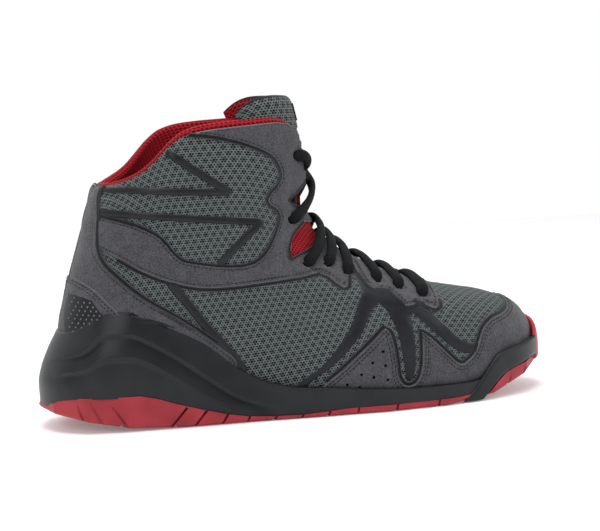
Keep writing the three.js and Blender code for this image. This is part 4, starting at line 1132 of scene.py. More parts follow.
# %% A way over the throat
LACE_WIDE, LACE_THICK, LACE_AROUND = 6.6, 4.0, 20
NECK_WIDE, NECK_THICK, NECK_RUN = 3.9, 3.6, 3.8  # where the lace is squeezed by an eyelet
FACING = np.radians([2, 25, 47, 60, 66, 68, 68, 68])
SLACK = {(0, -1): 1.2, (0, 1): 0.5}
CROSS_LIFT = {-1: 0.1, 1: -3.4}  # the outer strand lies over the inner one at the middle
SUEDE_TOP = 1.5
FROM_BELOW, RISE_RUN = 1.5, 4.2  # how deep a strand starts, and how soon it is up
DIVE, COME_UP = 3.7, 2.2  # how deep it passes under the far edge, and how much it rises to its eyelet


def eyelet_place(k, side):
    x, z = EYELETS[k]
    return LAST.skin(side, LAST.turn(x, z), z)[0]


def form_normal(places):
    side = np.where(places[:, 1] < middle_line(places[:, 0]), -1.0, 1.0)
    return LAST.normal(side, LAST.turn(places[:, 0], places[:, 2]), places[:, 2])


def over_throat(start, end, shares, facing):
    """Points of the form over the chord between two eyelets."""
    base = start + (end - start) * shares[:, None]
    way = np.array([np.cos(facing), 0, np.sin(facing)])
    low, high = np.zeros(len(shares)), np.full(len(shares), 60.0)
    for _ in range(HALVINGS):
        reach = (low + high) / 2
        place = base + way * reach[:, None]
        off = place[:, 1] - middle_line(place[:, 0])
        within = np.abs(off) < LAST.half(np.sign(off), place[:, 0], place[:, 2])
        low, high = np.where(within, reach, low), np.where(within, high, reach)
    return base + way * low[:, None]


def run_of(path):
    return np.concatenate([[0], np.cumsum(np.linalg.norm(np.diff(path, axis=0), axis=1))])


def evened(path, step):
    """The same path with points an even step apart, a little smoothed."""
    run = run_of(path)
    at = np.linspace(0, run[-1], int(run[-1] / step) + 2)
    path = np.stack([np.interp(at, run, path[:, k]) for k in range(3)], axis=1)
    for _ in range(6):
        path[1:-1] = (path[:-2] + 2 * path[1:-1] + path[2:]) / 4
    return path

# %% [markdown]
# A pulled flat lace has an oval section whose flat side lies on the foot. A curve's bevel can be oval too,
# but Blender decides how it twists. So the rings are set one by one: each looks the way the form does under
# it, and swells a little now and then, as a braid does. Its map runs along and round the lace, in
# millimetres.

# %% An oval tube
def tube(path, facing, wide, thick):
    """An oval tube: its points, faces and braid map. Facing is the way its flat side looks."""
    along = np.gradient(path, axis=0)
    along /= np.linalg.norm(along, axis=1, keepdims=True)
    across = np.cross(along, facing)
    across /= np.linalg.norm(across, axis=1, keepdims=True)
    out = np.cross(across, along)
    angle = np.arange(LACE_AROUND) * 2 * np.pi / LACE_AROUND - np.pi / 2
    swell = 1 + 0.03 * np.sin(run_of(path) / 1.9)
    ring = path[:, None] + across[:, None] * (np.cos(angle) * (wide * swell)[:, None] / 2)[:, :, None]
    ring = ring + out[:, None] * (np.sin(angle) * (thick * swell)[:, None] / 2)[:, :, None]
    reach = np.repeat(run_of(path)[:, None], LACE_AROUND, axis=1)
    girth = np.repeat((angle * (LACE_WIDE + LACE_THICK) / 4)[None], len(path), axis=0)
    faces = [list(f) for f in grid_faces(len(path), LACE_AROUND, closed=True, flip=True)]
    last = (len(path) - 1) * LACE_AROUND
    faces += [list(range(LACE_AROUND)), list(range(last, last + LACE_AROUND))[::-1]]
    return ring.reshape(-1, 3), faces, np.stack([reach.ravel(), girth.ravel()], axis=1)


def merged(parts):
    """Several parts of points, faces and map as one."""
    start, faces = 0, []
    for points, part_faces, _ in parts:
        faces += [[v + start for v in face] for face in part_faces]
        start += len(points)
    return np.concatenate([part[0] for part in parts]), faces, np.concatenate([part[2] for part in parts])


def ease(low, high, value):
    t = np.clip((value - low) / (high - low), 0, 1)
    return t * t * (3 - 2 * t)

# %% [markdown]
# Seven crossings join eight pairs of eyelets. In each, two strands meet over the tongue and one lies on the
# other, so their lifts differ at the middle. The numbers are depths and lifts from the form: under the
# eyelet, up and over the suede, down below the far edge, and up again to the next eyelet.

# %% Lace crossings
def throat_share(eyelet):
    """How much of the way from the middle to an eyelet the open throat takes."""
    return throat_gap(eyelet[2])[0] / abs(eyelet[1] - middle_line(eyelet[0])[0])


def crossing(k, side):
    start, end = eyelet_place(k + 1, side), eyelet_place(k, -side)
    shares = np.linspace(0, 1, 121)
    places = over_throat(start, end, shares, FACING[k])
    places[0], places[-1] = start, end
    run = run_of(places)
    left = run[-1] - run
    edge = 0.5 + 0.5 * throat_share(end)
    over = SUEDE_TOP + LACE_THICK / 2 - 0.5
    lift = -FROM_BELOW + (over + FROM_BELOW) * ease(0, RISE_RUN, run)
    lift += CROSS_LIFT[side] * np.exp(-(((shares - 0.5) / 0.16) ** 2))
    lift += SLACK.get((k, side), 0) * np.sin(np.pi * np.clip(shares / edge, 0, 1)) ** 2
    under = ease(edge - 0.20, edge - 0.015, shares)
    lift = lift * (1 - under) - DIVE * under
    lift += COME_UP * ease(3.5, 0, left)
    path = evened(places + form_normal(places) * lift[:, None], 0.7)
    from_end = np.minimum(run_of(path), run_of(path)[-1] - run_of(path))
    free = ease(0, NECK_RUN, from_end)
    wide = NECK_WIDE + (LACE_WIDE - NECK_WIDE) * free
    thick = NECK_THICK + (LACE_THICK - NECK_THICK) * free
    return tube(path, form_normal(path), wide, thick)


for k in range(len(EYELETS) - 1):
    points, faces, cloth = merged([crossing(k, -1), crossing(k, 1)])
    crossed = make_mesh(f"lace_crossing_{k + 1}", points, faces, BLACK_LACE, cloth)
    belongs(crossed, "black_lace", f"lace_cross_{k + 1}")
print("lace crossing faces:", len(crossed.data.polygons))

# %% [markdown]
# The two free ends leave the top eyelets, fold forward over the edge of the throat and are tucked down
# inside, between lining and tongue. Tying a bow would invent what the photo doesn't show. They are swept in
# the same way as the crossings, along a few listed steps. They are the lace's only loose lengths.

# %% Lace ends
END_STEPS = Table("share lift drop", [
    [0, -1.4, 0], [0.25, 3.3, 0.8], [0.6, 3.5, 3.0], [0.86, 3.1, 5.4], [1.0, 1.6, 7.4], [1.07, -1.2, 9.6],
    [1.05, -3.4, 12.6], [0.96, -4.0, 17], [0.84, -4.1, 22], [0.72, -4.1, 28],
])


def end_path(side):
    start, far = eyelet_place(0, side), eyelet_place(0, -side)
    edge = 0.5 - 0.5 * throat_share(start)
    rows = END_STEPS.rows
    fine = np.linspace(0, len(rows) - 1, 140)
    share, lift, drop = (hermite(np.arange(len(rows)), rows[:, k], fine) for k in range(3))
    places = over_throat(start, far, share * edge, FACING[0])
    places[0] = start
    places[:, 2] -= drop
    return evened(places + form_normal(places) * lift[:, None], 0.7)


for label, side in SIDES.items():
    path = end_path(side)
    wide = 4.2 + (LACE_WIDE - 4.2) * ease(0, 3.5, run_of(path))
    points, faces, cloth = tube(path, form_normal(path), wide, np.full(len(path), LACE_THICK))
    lace_end = make_mesh(f"lace_tail_{label}", points, faces, BLACK_LACE, cloth)
    belongs(lace_end, "black_lace", f"lace_end_{label}")
    centre = (leaned(path) - MIDDLE) / 1000

# %% [markdown]
# Bars, bindings and pipings are narrow strips laid along a line. On the real boot the bars are moulded and
# glued, and the bindings are folded tape. A bevelled curve would sink into the cloth wherever the form
# bends. So each strip is swept on the same plane as the panels, with a rounded or flattened crown and
# tapered ends, and the collar, the cup and the throat cut it off.

# %% Strips along a line
STRIP_ACROSS, STRIP_SUNK = 11, 0.4


def strip_part(line, side, wide, tall, base, plane=UPPER, closed=False, sharp=48, square=4.0):
    seen = smooth(line, closed, sharp, 1.0)
    flat = plane.lay(seen)
    keep = (flat[:, 0] > -1) & (flat[:, 0] < plane.wide + 1)
    if plane is UPPER:
        for cut in (ABOVE_COLLAR, BELOW_CUP, IN_THROAT):
            keep &= ~in_outline(flat, cut)
    flat = flat[keep]
    scale = plane.stretch(flat, side)
    step = (np.roll(flat, -1, axis=0) - np.roll(flat, 1, axis=0)) * scale
    if not closed:
        step[0], step[-1] = (flat[1] - flat[0]) * scale[0], (flat[-1] - flat[-2]) * scale[-1]
    step /= np.maximum(np.linalg.norm(step, axis=1, keepdims=True), 1e-9)
    across = np.stack([-step[:, 1], step[:, 0]], axis=1)
    run = run_of(plane.lift(flat, side))
    from_end = np.full(len(run), 99.0) if closed else np.minimum(run, run[-1] - run)
    half = wide / 2 * rounded((from_end + 0.05) / (wide / 2))
    share = np.sin(np.linspace(-np.pi / 2, np.pi / 2, STRIP_ACROSS))
    rings, faces, edge = [], [], []
    for s in share:
        at = flat + across / scale * (half * s)[:, None]
        crown = (1 - abs(s) ** square) ** 0.5 * (half / (wide / 2)) ** 0.5
        lift = base - STRIP_SUNK + (tall + STRIP_SUNK) * crown
        rings.append(plane.lift(at, side, lift))
        edge.append(half * (1 - abs(s)))
    points = np.stack(rings, axis=1).reshape(-1, 3)
    edge = np.stack(edge, axis=1).ravel()
    count = len(share)
    if closed:
        points = np.concatenate([points, points[:count]])
        edge = np.concatenate([edge, edge[:count]])
        run = np.append(run, run[-1] + 1)
    faces = grid_faces(len(run), count, flip=side > 0)
    cloth = np.stack([np.repeat(run, count), np.tile(share * wide / 2, len(run))], axis=1)
    return points, [list(f) for f in faces], np.column_stack([cloth, edge])


def strips(name, lines, wide, tall, material, sides=(-1, 1), base=0.0, **how):
    parts = [strip_part(line, side, wide, tall, base, **how) for side in sides for line in lines]
    points, faces, extra = merged(parts)
    return make_mesh(name, points, faces, material, extra[:, :2], extra[:, 2])

# %% [markdown]
# Two pointed bars stiffen the ankle panel, and one longer bar runs from under the band down the quarter to
# the sole. They are injected rubber, so they have a flat crown and sharp corners. Each is one strip along
# three to five points, drawn once and laid on both sides.

# %% Moulded bars
BARS = {
    "ankle_bar_upper": ([(76.2, 151.9), (109.2, 126.5), (40.2, 130.7)], 4.0, 0.95),
    "ankle_bar_lower": ([(100.2, 87.4), (127.8, 109.2), (36.6, 118.3)], 4.0, 0.95),
    "quarter_bar": ([(70.6, 79.6), (81.5, 64.6), (90, 52.2), (99.5, 39.8), (108.6, 27.0)], 6.6, 1.0),
}
for bar, (line, wide, tall) in BARS.items():
    for label, side in SIDES.items():
        made = strips(f"{bar}_strip_{label}", [line], wide, tall, BLACK_RUBBER, (side,), sharp=30)
        belongs(made, "dark_film", f"{bar}_{label}")
print("bar faces:", len(made.data.polygons))

# %% [markdown]
# Black binding runs round the ankle panel, behind it along the heel, under the tab and over the toe guard,
# and round the two wedges. It hides the cut edge of the mesh, and its own folded edge catches a thin line
# of light. It could be a darker band in the suede's finish, but then it would have no height. The strips
# follow the panels' own outlines, moved sideways, so they stay on their seams.

# %% Bindings
HIGH, LOW = FLEX_NOTCHES
NOTCH_EDGES = [
    [HIGH[1], (152, 123.5), HIGH[0], (149, 117), HIGH[3], (166, 112.9)],
    [(168, 94.5), LOW[0], (145.4, 93), LOW[1], LOW[2]],
]
HEEL_LINE = HEEL_EDGE[1:-1]
GUARD_LINE = GUARD_EDGE[1:]
TAB_LINE = TAB_EDGE[1:-1]


def shifted(line, out):
    """A line moved to its left by out millimetres."""
    line = np.asarray(line, float)
    step = np.gradient(line, axis=0)
    step /= np.linalg.norm(step, axis=1, keepdims=True)
    return line + np.stack([-step[:, 1], step[:, 0]], axis=1) * out


bindings = strips("panel_bindings", [PANEL_EDGE[:-1]], 2.6, 0.85, BLACK_TRIM, base=0.2)
belongs(bindings, "black_rubber")
heel_binding = strips("heel_bindings", [shifted(HEEL_LINE, 0.9)], 2.6, 1.3, BLACK_TRIM, base=0.4)
belongs(heel_binding, "black_rubber")
SEAM_LINES = [shifted(TAB_LINE, -1.2), shifted(GUARD_LINE, 1.1), shifted(BAND_EDGE[1:-1], 1.0)]
seam_trims = strips("seam_trims", SEAM_LINES, 2.2, 0.6, BLACK_TRIM, base=0.1)
belongs(seam_trims, "black_rubber")
notch_trims = strips("notch_trims", NOTCH_EDGES, 1.8, 1.3, BLACK_TRIM, base=0.2)
belongs(notch_trims, "black_rubber")
print("binding faces:", len(bindings.data.polygons))

# %% [markdown]
# The lining is a red mesh bag. Round the ankle it is filled with foam and rolled over the topline, and
# below that it lies thin against the wall, down to the insole. A torus and a tube could be joined for it,
# but the seam would show. So it is one sheet, swept from the outer hem, over the roll and down the inside,
# with the foam fading out towards the throat, where its edge shows as a red line.

# %% Collar lining
LINING_OUT, PAD, THIN = -2.3, 5.6, 0.9
LINING_RISE = 3.2
PAD_FOOT = 84.8
LINING_HEM, LINING_END = -3.4, 27.0  # how far it stays back from the throat, and where it ends below


def round_heel(steps):
    """For a sheet that runs round the heel: each column's side and its share of the way forward."""
    share = np.sin(np.linspace(0, np.pi / 2, steps + 1))
    side = np.concatenate([-np.ones(steps), np.ones(steps + 1)])
    return side, np.concatenate([share[:0:-1], share])


def lining_part():
    side, share = round_heel(85)

    def place(z):
        limit = np.where(side < 0, throat_turn(-1, z, LINING_HEM), throat_turn(1, z, LINING_HEM))
        return LAST.skin(side, share * limit, z)[:, 0], share * limit

    top = np.full(len(side), 150.0)
    for _ in range(12):
        top = collar(place(top)[0]) + LINING_RISE
    thin = rounded((1 - share) * 60 / 7)
    radius = PAD * thin / 2 + 0.15
    rows = []
    for drop in (13, 9, 6, 3.5):
        rows.append((top - radius - drop, np.zeros(len(side)), 1.0))
    for angle in np.linspace(0, np.pi, 11):
        over = np.cos(angle)
        rows.append((top - radius + radius * np.sin(angle), radius * (1 - over), 0.5 + 0.5 * over))
    for part in np.linspace(0.04, 1, 22):
        z = (top - radius) * (1 - part) + PAD_FOOT * part
        soft = 0.5 * np.sin(part * np.pi * 3) ** 2
        rows.append((z, 2 * radius - soft * thin, 0.0))
    for part in np.linspace(0.1, 1, 16):
        deep = (2 * radius - THIN) * (1 - ease(0, 0.5, part)) + THIN
        low = PAD_FOOT - 2.2 * min(part, 0.5) * 2
        z = low - (low - LINING_END) * max(part - 0.5, 0) * 2
        rows.append((np.full(len(side), z), deep, 0.0))
    points, cloth, run = [], [], np.zeros(len(side))
    for z, depth, swell in rows:
        x, turn = place(z)
        puffed = relief(side, x, z) * swell * 0.8
        lift = LINING_OUT - depth + puffed
        point = LAST.skin(side, turn, z) + LAST.normal(side, turn, z) * lift[:, None]
        if points:
            run = run + np.linalg.norm(point - points[-1], axis=1)
        points.append(point)
        cloth.append(np.stack([run_of(point), run], axis=1))
    return np.concatenate(points), grid_faces(len(rows), len(side)), np.concatenate(cloth)


points, faces, cloth = lining_part()
lining = make_mesh("lining_padded", points, faces, RED_MESH, cloth)
belongs(lining, "red_mesh", "collar_lining")
print("lining faces:", len(lining.data.polygons))

# %% [markdown]
# The tongue is a padded slab of the same mesh with a red back. It follows the inside of the throat, thins
# towards its edges, swells between the laces, and its head stands above the collar with a rounded, bound
# rim. A subdivided box could be bent to this, but it would cut through the throat's edges. Rows of points
# at rising heights follow the last instead. A small plain label is sewn near its head.

# %% Tongue
TONGUE = Table("height half drop", [
    [35.5, 52, 0], [42, 58, 0], [50, 66, 0], [60, 74, 0], [80, 86, 0], [100, 97, 6], [104, 99, 24],
    [109.8, 100, 62],
])
TONGUE_HALF, TONGUE_SAG, TONGUE_WALL, TONGUE_DEEP = 36.0, 16.0, 6.0, 5.1
TONGUE_FOOT, RIM_FROM, RIM_TALL = 35.5, 106.6, 3.2  # hundredths of the collar's height
BOUND_FROM = 108.9  # where the binding of the rim begins
BULGE, BULGE_HALF = 2.2, 9.5  # how the tongue swells between the edges of the throat
SAG_POWER = 7  # how squarely the head's corners fall
SLID = 0.15  # how much further back the head reaches on the outer side
TONGUE_ACROSS = 61
TONGUE_ROUND = 2 * TONGUE_ACROSS


def tongue_part():
    across = np.sin(np.linspace(-np.pi / 2, np.pi / 2, TONGUE_ACROSS))
    rim = np.sin(np.linspace(0, np.pi / 2, 10))[1:]
    levels = np.concatenate([np.linspace(TONGUE_FOOT, RIM_FROM, 96), RIM_FROM + RIM_TALL * rim])
    rows, cloth = [], []
    for level in levels:
        half = float(TONGUE.read("half", level)[0]) * TONGUE_HALF / 100
        sag = float(TONGUE.read("drop", level)[0]) * TONGUE_SAG / 100
        z = level / 100 * COLLAR_HEIGHT - sag * np.abs(across) ** SAG_POWER
        side = np.where(across < 0, -1.0, 1.0)
        centre_z = np.array([level / 100 * COLLAR_HEIGHT])
        edge = LAST.turn_at(-1, centre_z, half)[0]
        slid = np.where(across < 0, 1 + SLID * ease(92, 103, level), 1.0)
        turn = 1 - (1 - edge) * np.abs(across) * slid
        cap = np.sqrt(max(1 - ((level - RIM_FROM) / RIM_TALL) ** 2, 0)) if level > RIM_FROM else 1.0
        wall = TONGUE_WALL * (1 - 0.55 * across**4) * np.sqrt(np.clip(1 - across**10, 0.02, 1))
        skin = LAST.skin(side, turn, z)
        normal = LAST.normal(side, turn, z)
        puff = (0.5 * np.sin(level / 2.4) if level < 98 else 0.9) * (1 - across**2) * cap
        middle = -TONGUE_DEEP - wall / 2
        bulge = BULGE * np.exp(-((across * half / BULGE_HALF) ** 4)) * ease(100, 88, level)
        outer = skin + normal * (middle + wall / 2 * cap + puff + bulge)[:, None]
        inner = skin + normal * (middle - wall / 2 * cap)[:, None]
        rows.append(np.concatenate([outer, inner[::-1]]))
        run = np.full(TONGUE_ROUND, z.mean() * 1.05)
        cloth.append(np.stack([np.concatenate([across, across[::-1]]) * half * 1.2, run], axis=1))
    faces = grid_faces(len(rows), TONGUE_ROUND, closed=True)
    column = np.tile(np.arange(TONGUE_ROUND), len(rows) - 1)
    level = np.repeat(levels[:-1], TONGUE_ROUND)
    material = np.where(column >= TONGUE_ACROSS, 1, 0)
    material = np.where(level > BOUND_FROM, 2, material)
    return np.concatenate(rows), faces, np.concatenate(cloth), material


points, faces, cloth, material = tongue_part()
tongue = make_mesh("tongue_padded", points, faces, [GREY_MESH, RED_MESH, BLACK_TRIM], cloth,
                   np.full(len(points), 2.0), material)
belongs(tongue, "grey_mesh", "tongue")
LABEL_ROWS, LABEL_COLUMNS = slice(87, 96), slice(26, 37)
face = points.reshape(-1, TONGUE_ROUND, 3)[LABEL_ROWS, LABEL_COLUMNS]
label_points = (face + form_normal(face.reshape(-1, 3)).reshape(face.shape) * 0.7).reshape(-1, 3)
tab_faces = grid_faces(face.shape[0], face.shape[1])
tag = make_mesh("tongue_label", label_points, tab_faces, BLACK_RUBBER)
tag_wall = tag.modifiers.new("wall", "SOLIDIFY")
tag_wall.thickness = 0.0006
settle(tag)
belongs(tag, "black_rubber")
print("tongue faces:", len(tongue.data.polygons))

# %% [markdown]
# The foam cup is moulded in one piece. Behind the arch its wall has two louvred ridges: the surface swells
# outwards to a crest and is cut under sharply, and both crests fade out towards the forefoot. Bump alone
# would leave the outline smooth, so the ridges are real. Their heights come from a table along the boot,
# and each row of points is placed between the tread's top and the cup's rim.

# %% Foam cup
RIDGES = Table("along low high", [
    [0, 0.40, 0.63], [7, 0.40, 0.64], [12, 0.46, 0.72], [17, 0.44, 0.71], [22, 0.37, 0.67],
    [28, 0.22, 0.53], [35, 0.12, 0.38], [42, 0.08, 0.27], [100, 0.08, 0.20],
])
RIDGE_PROUD, CUP_INSET = 2.7, -1.0
CUP_JOINT = 250.0  # where the cup ends under the toe band
UNDERCUT = 0.022  # how sharply a crest is cut under, as a share of the wall
RIM_SHARE, RIM_ROUND = 0.96, 1.4


def cup_part():
    side, share = round_heel(149)

    def place(height):
        z = np.full(len(side), 20.0)
        for _ in range(10):
            turn = share * SOLE.turn(CUP_JOINT, z)
            x = SOLE.skin(side, turn, z)[:, 0]
            z = height(x)
        return x, z, turn

    def at(h):
        return lambda x: tread_top(x) + (cup_top(x) - tread_top(x)) * h(x / SHOE_LENGTH * 100)

    def low(along):
        return RIDGES.read("low", along)

    def high(along):
        return RIDGES.read("high", along)

    rows = []
    for q in np.linspace(-0.04, 1, 10):
        rows.append((lambda a, q=q: (low(a) - UNDERCUT) * q, 0.1 * max(q, 0) ** 3, 0))
    for q in np.linspace(0, 1, 9):
        rows.append((lambda a, q=q: low(a) + (high(a) - UNDERCUT - low(a)) * q, 1 - 0.95 * q**0.75, 0))
    for q in np.linspace(0, 1, 12):
        rows.append((lambda a, q=q: high(a) + (RIM_SHARE - high(a)) * q, (1 - q) ** 1.2, 0))
    for angle in np.linspace(0.2, np.pi / 2, 5):
        level = RIM_SHARE + (1 - RIM_SHARE) * np.sin(angle)
        rows.append((lambda a, level=level: np.full(len(a), level), 0, RIM_ROUND * (1 - np.cos(angle))))
    for level, inward in ((1.0, 4.0), (0.88, 4.4)):
        rows.append((lambda a, level=level: np.full(len(a), level), 0, inward))
    points, cloth = [], []
    for height, proud, inward in rows:
        x, z, turn = place(at(height))
        along = x / SHOE_LENGTH * 100
        fade = np.clip((along - 1.5) / 6, 0, 1) * np.clip((42 - along) / 8, 0, 1)
        out = CUP_INSET + RIDGE_PROUD * proud * fade - inward
        points.append(SOLE.skin(side, turn, z) + SOLE.normal(side, turn, z) * out[:, None])
        cloth.append(np.stack([x, z], axis=1))
    return np.concatenate(points), grid_faces(len(rows), len(side), flip=True), np.concatenate(cloth)


points, faces, cloth = cup_part()
cup = make_mesh("foam_cup", points, faces, BLACK_FOAM, cloth)
belongs(cup, "black_foam", "midsole")
print("cup faces:", len(cup.data.polygons))

# %% [markdown]
# A band of black rubber sweeps up out of the sole and round the toe, where it ends at the red bumper. On
# the real boot it is a strip glued over the edge of the upper. It could be swept like a binding, but its
# width changes along it, so it is a panel like the suede ones, laid on the sole's own form and cut by the
# bumper's border.

# %% Toe bands
FOXING = [
    (233.6, 0.6), (240.6, 6.5), (246.6, 13), (252.6, 19.6), (258.6, 25.4), (265.8, 27.7), (277.2, 29.3),
    (288, 31.3), (318, 33.6), (318, 21.5), (285, 19.2), (273, 17), (264, 14.3), (256.2, 9.1), (248.4, 2),
    (246.4, 0.6),
]
BUMPER_HALF = 22.0


def bumper_line(side):
    """The bumper's border on the plane, closed past the toe so that it cuts the band."""
    z = np.arange(-2, 62, 2.0)
    turn = SOLE.turn_at(side, z, BUMPER_HALF)
    line = np.stack([turn * SIDEWALL.wide, SIDEWALL.climb(z)], axis=1)
    past_toe = SIDEWALL.wide + 20
    return np.concatenate([line, [[past_toe, 300], [past_toe, -60]]])


for label, side in SIDES.items():
    foxing = panel(f"toe_band_{label}", FOXING, BLACK_RUBBER, 1.0, (side,), base=-0.9,
                   drop=(bumper_line(side),), plane=SIDEWALL, sharp=40, round_off=0.9)
    belongs(foxing, "black_rubber", f"toe_foxing_{label}")
print("toe band faces:", len(foxing.data.polygons))

# %% [markdown]
# Stitches, punched holes and moulded dots are one small shape set many times. Copying objects would make
# thousands of them, and painting them would leave them flat. Python works out where each stands and how it
# is turned, and Geometry Nodes puts a copy of the shape on every point, with a little chance in its size
# from a fixed seed. The copies are made real and become one plain mesh.

# %% A tree that scatters
def scatter_tree():
    tree = bpy.data.node_groups.new("scatter", "GeometryNodeTree")
    sockets = {}
    kinds = {"Places": "Geometry", "Shape": "Object", "Finish": "Material", "Vary": "Float"}
    for name, kind in kinds.items():
        made = tree.interface.new_socket(name, in_out="INPUT", socket_type="NodeSocket" + kind)
        sockets[name] = made.identifier
    tree.interface.new_socket("Made", in_out="OUTPUT", socket_type="NodeSocketGeometry")
    start, end = tree.nodes.new("NodeGroupInput"), tree.nodes.new("NodeGroupOutput")
    shape = tree.nodes.new("GeometryNodeObjectInfo")
    turn = tree.nodes.new("GeometryNodeInputNamedAttribute")
    turn.data_type = "FLOAT_VECTOR"
    turn.inputs["Name"].default_value = "turn"
    chance = tree.nodes.new("FunctionNodeRandomValue")
    chance.inputs["Seed"].default_value = 4
    spread = tree.nodes.new("GeometryNodeInstanceOnPoints")
    realize = tree.nodes.new("GeometryNodeRealizeInstances")
    paint = tree.nodes.new("GeometryNodeSetMaterial")
    low, high = tree.nodes.new("ShaderNodeMath"), tree.nodes.new("ShaderNodeMath")
    low.operation, high.operation = "SUBTRACT", "ADD"
    links = [
        (start.outputs["Places"], spread.inputs["Points"]),
        (start.outputs["Shape"], shape.inputs["Object"]),
        (shape.outputs["Geometry"], spread.inputs["Instance"]),
        (turn.outputs["Attribute"], spread.inputs["Rotation"]),
        (start.outputs["Vary"], low.inputs[1]), (start.outputs["Vary"], high.inputs[1]),
        (low.outputs[0], chance.inputs[2]), (high.outputs[0], chance.inputs[3]),
        (chance.outputs[1], spread.inputs["Scale"]), (spread.outputs[0], realize.inputs[0]),
        (realize.outputs[0], paint.inputs["Geometry"]), (start.outputs["Finish"], paint.inputs["Material"]),
        (paint.outputs[0], end.inputs[0]),
    ]
    low.inputs[0].default_value = high.inputs[0].default_value = 1.0
    for output, socket in links:
        tree.links.new(output, socket)
    return tree, sockets


SCATTER, SOCKETS = scatter_tree()
print("inputs of the tree:", SOCKETS)

# %% [markdown]
# A stitch, a hole and a dot are all an ellipsoid of a few dozen faces, long, flat or round. What differs is
# where each stands. Points along a seam are spaced evenly on the real form, and whatever a cut takes away
# is left out, so that no stitch floats over an eyelet or the open throat.

# %% Shapes and their places
def bead(name, size, rings=5, around=8):
    """A small ellipsoid, in millimetres."""
    down = np.linspace(0, np.pi, rings + 1)[1:-1]
    angle = np.arange(around) * 2 * np.pi / around
    points = [
        (math.cos(a) * math.sin(d), math.sin(a) * math.sin(d), math.cos(d)) for d in down for a in angle
    ]
    count = len(points)
    faces = [list(f) for f in grid_faces(len(down), around, closed=True, flip=True)]
    faces += [[count, i, (i + 1) % around] for i in range(around)]
    faces += [[count + 1, count - around + (i + 1) % around, count - around + i] for i in range(around)]
    shape = np.array([*points, (0, 0, 1), (0, 0, -1)]) * np.array(size) / 2
    return make_mesh(name, shape + MIDDLE, faces, THREAD)


def scattered(name, parts, shape, finish, slot, vary=0.1):
    """A copy of the shape at each place. Parts are places, ways along and ways out, in millimetres."""
    places, along, out = (np.concatenate([part[k] for part in parts]) for k in range(3))
    across = np.cross(out, along)
    turns = [Matrix(np.stack(axes, axis=1)).to_euler() for axes in zip(along, across, out)]
    thing = make_mesh(name, places, [], finish)
    turn = thing.data.attributes.new("turn", "FLOAT_VECTOR", "POINT")
    turn.data.foreach_set("vector", np.array([tuple(t) for t in turns], np.float32).ravel())
    modifier = thing.modifiers.new("scatter", "NODES")
    modifier.node_group = SCATTER
    for key, value in (("Shape", shape), ("Finish", finish), ("Vary", vary)):
        modifier[SOCKETS[key]] = value
    settle(thing)
    belongs(thing, slot)
    print(name, "copies:", len(places), "faces:", len(thing.data.polygons))
    return thing


def along_line(line, side, pitch, height, out=0.0, plane=UPPER):
    """Evenly spaced places along a line on the upper, leaving out what the cuts take away."""
    seen = smooth(line, False, 48, 0.6)
    seen = shifted(seen, out) if out else seen
    flat = plane.lay(seen)
    run = run_of(plane.lift(flat, side))
    at = np.arange(pitch / 2, run[-1], pitch)
    spots = np.stack([np.interp(at, run, flat[:, k]) for k in range(2)], axis=1)
    ahead = np.stack([np.interp(at + 0.3, run, flat[:, k]) for k in range(2)], axis=1)
    kept = (spots[:, 0] > 0.5) & (spots[:, 0] < plane.wide - 0.5)
    for cut in CUTS:
        kept &= ~in_outline(spots, cut)
    spots, ahead = spots[kept], ahead[kept]
    places = plane.lift(spots, side, height)
    way = plane.lift(ahead, side, height) - places
    return with_normal(places, way, side, spots, plane)


def with_normal(places, way, side, spots, plane):
    z = plane.height_of(spots[:, 1])
    normal = plane.form.normal(side, np.clip(spots[:, 0] / plane.wide, 0, 1), z)
    way = way - normal * (way * normal).sum(1, keepdims=True)
    return places, way / np.maximum(np.linalg.norm(way, axis=1, keepdims=True), 1e-9), normal

# %% [markdown]
# Rows of lockstitch hold the suede: one row on the band and the tab, two on the heel's cap and the toe
# guard. A dashed line in the finish would be cheaper, but each real stitch sinks at its ends and lifts at
# its middle. So each is a small bead, laid along a line that runs beside the panel's edge, in the groove
# that was pressed for it.

# %% Stitches
STITCH_ROWS = [
    (BAND_EDGE[3:], -1.8, SUEDE - 0.2), (PANEL_EDGE, -1.8, SUEDE - 0.2), (HEEL_EDGE[1:], -1.9, SUEDE - 0.2),
    (HEEL_SEAM[1:], -1.7, 1.75), (HEEL_SEAM[1:], -3.3, 1.8), (GUARD_EDGE, -1.5, SUEDE - 0.2),
    (GUARD_EDGE[1:], -3.2, SUEDE - 0.2), (TAB_EDGE[1:], 1.7, 1.25),
]
stitch = bead("stitch_shape", (1.7, 0.55, 0.55))
rows = [along_line(line, side, 2.25, height, out) for side in (-1, 1) for line, out, height in STITCH_ROWS]
scattered("stitches", rows, stitch, THREAD, "grey_suede", 0.12)
bpy.data.objects.remove(stitch)

# %% [markdown]
# Eight small holes are punched in the triangle of the guard, and the heel carries a dark patch with rows of
# raised dots, moulded on for grip. The holes could be cut through the mesh, but each would only show black.
# So a hole is a flat black disc that barely stands out, a dot is a low dome, and the dots are kept inside
# the patch by its own outline.

# %% Punched holes and heel dots
PUNCHED = [(187, 34), (180, 28), (187, 26), (173, 22), (180, 20), (188, 18), (165, 17), (172, 15)]
PATCH = [(20.5, 75), (29.8, 71.4), (34.6, 62.6), (31.2, 57), (24, 52.4), (16.4, 49), (16.4, 60)]


def at_points(seen, side, height, plane=UPPER):
    spots = plane.lay(seen)
    places = plane.lift(spots, side, height)
    way = plane.lift(spots + [0.5, 0], side, height) - places
    return with_normal(places, way, side, spots, plane)


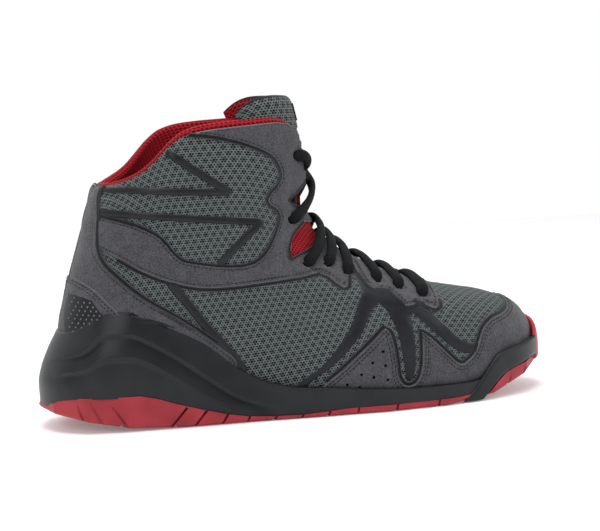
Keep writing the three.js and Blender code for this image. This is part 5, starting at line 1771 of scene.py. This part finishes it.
hole = bead("hole_shape", (1.7, 1.7, 0.3), around=12)
scattered("punched_holes", [at_points(PUNCHED, side, SUEDE + 0.02) for side in (-1, 1)], hole, HOLE_SHADE,
          "grey_suede", 0.05)
bpy.data.objects.remove(hole)

patch = panel("heel_patch", PATCH, BLACK_RUBBER, 0.3, base=1.75, drop=(BELOW_CUP,), sharp=40)
belongs(patch, "dark_film")
x, z = np.meshgrid(np.arange(15, 36, 2.5), np.arange(50, 75, 2.2))
x = x + (np.arange(len(x)) % 2)[:, None] * 1.25
dots = np.stack([x.ravel(), z.ravel()], axis=1)
border = np.array(PATCH, float)
kept = in_outline(dots, border)
kept &= segment_distance(dots, border, np.roll(border, -1, axis=0)) > 1.3
dot = bead("dot_shape", (1.15, 1.15, 0.7))
rows = [at_points(dots[kept], side, 2.1) for side in (-1, 1)]
scattered("heel_dots", rows, dot, DOT_RUBBER, "black_rubber", 0.06)
bpy.data.objects.remove(dot)

# %% [markdown]
# The red bumper is part of the tread, and stands up the front of the toe between the two bands. The CAD
# solid has it, but with flat facets, so a thin rounded skin lies over it. Behind the laces, a red mesh gore
# closes the wedge where the ankle flexes, so that the boot can bend there. Both are single panels that run
# across the middle line or lie a little below the upper's face.

# %% Toe bumper and flex gore
BUMPER = [(290.4, 17), (290.2, 30), (291.6, 37), (294.6, 42), (330, 43.4), (330, 17)]
GORE = [
    (143.5, 85.5), (145, 96), (150, 104), (158.4, 109.5), (165, 107.5), (170, 99), (167, 90.5), (158, 86),
]
bumper = panel("toe_bumper", BUMPER, RED_RUBBER, 1.1, base=-0.9, plane=SIDEWALL, sharp=40, round_off=1.4)
belongs(bumper, "red_rubber")
gore = panel("flex_gore", GORE, RED_MESH, 0.5, base=-1.3, sharp=40)
belongs(gore, "red_mesh")
print("bumper and gore faces:", len(bumper.data.polygons), len(gore.data.polygons))

# %% [markdown]
# The tread and the insole keep their CAD solids, whose shape is already right: side cuts, cross grooves and
# arch are all there. A second mesh over them would only add faces. They take a new finish, which reads
# places in millimetres and so needs no map.

# %% Finishes of the CAD solids
for node, finish in (("outsole", RED_RUBBER), ("insole", SOCKLINER)):
    for place in bpy.data.objects[node].material_slots:
        place.material = finish
    print(node, "now has", finish.name)
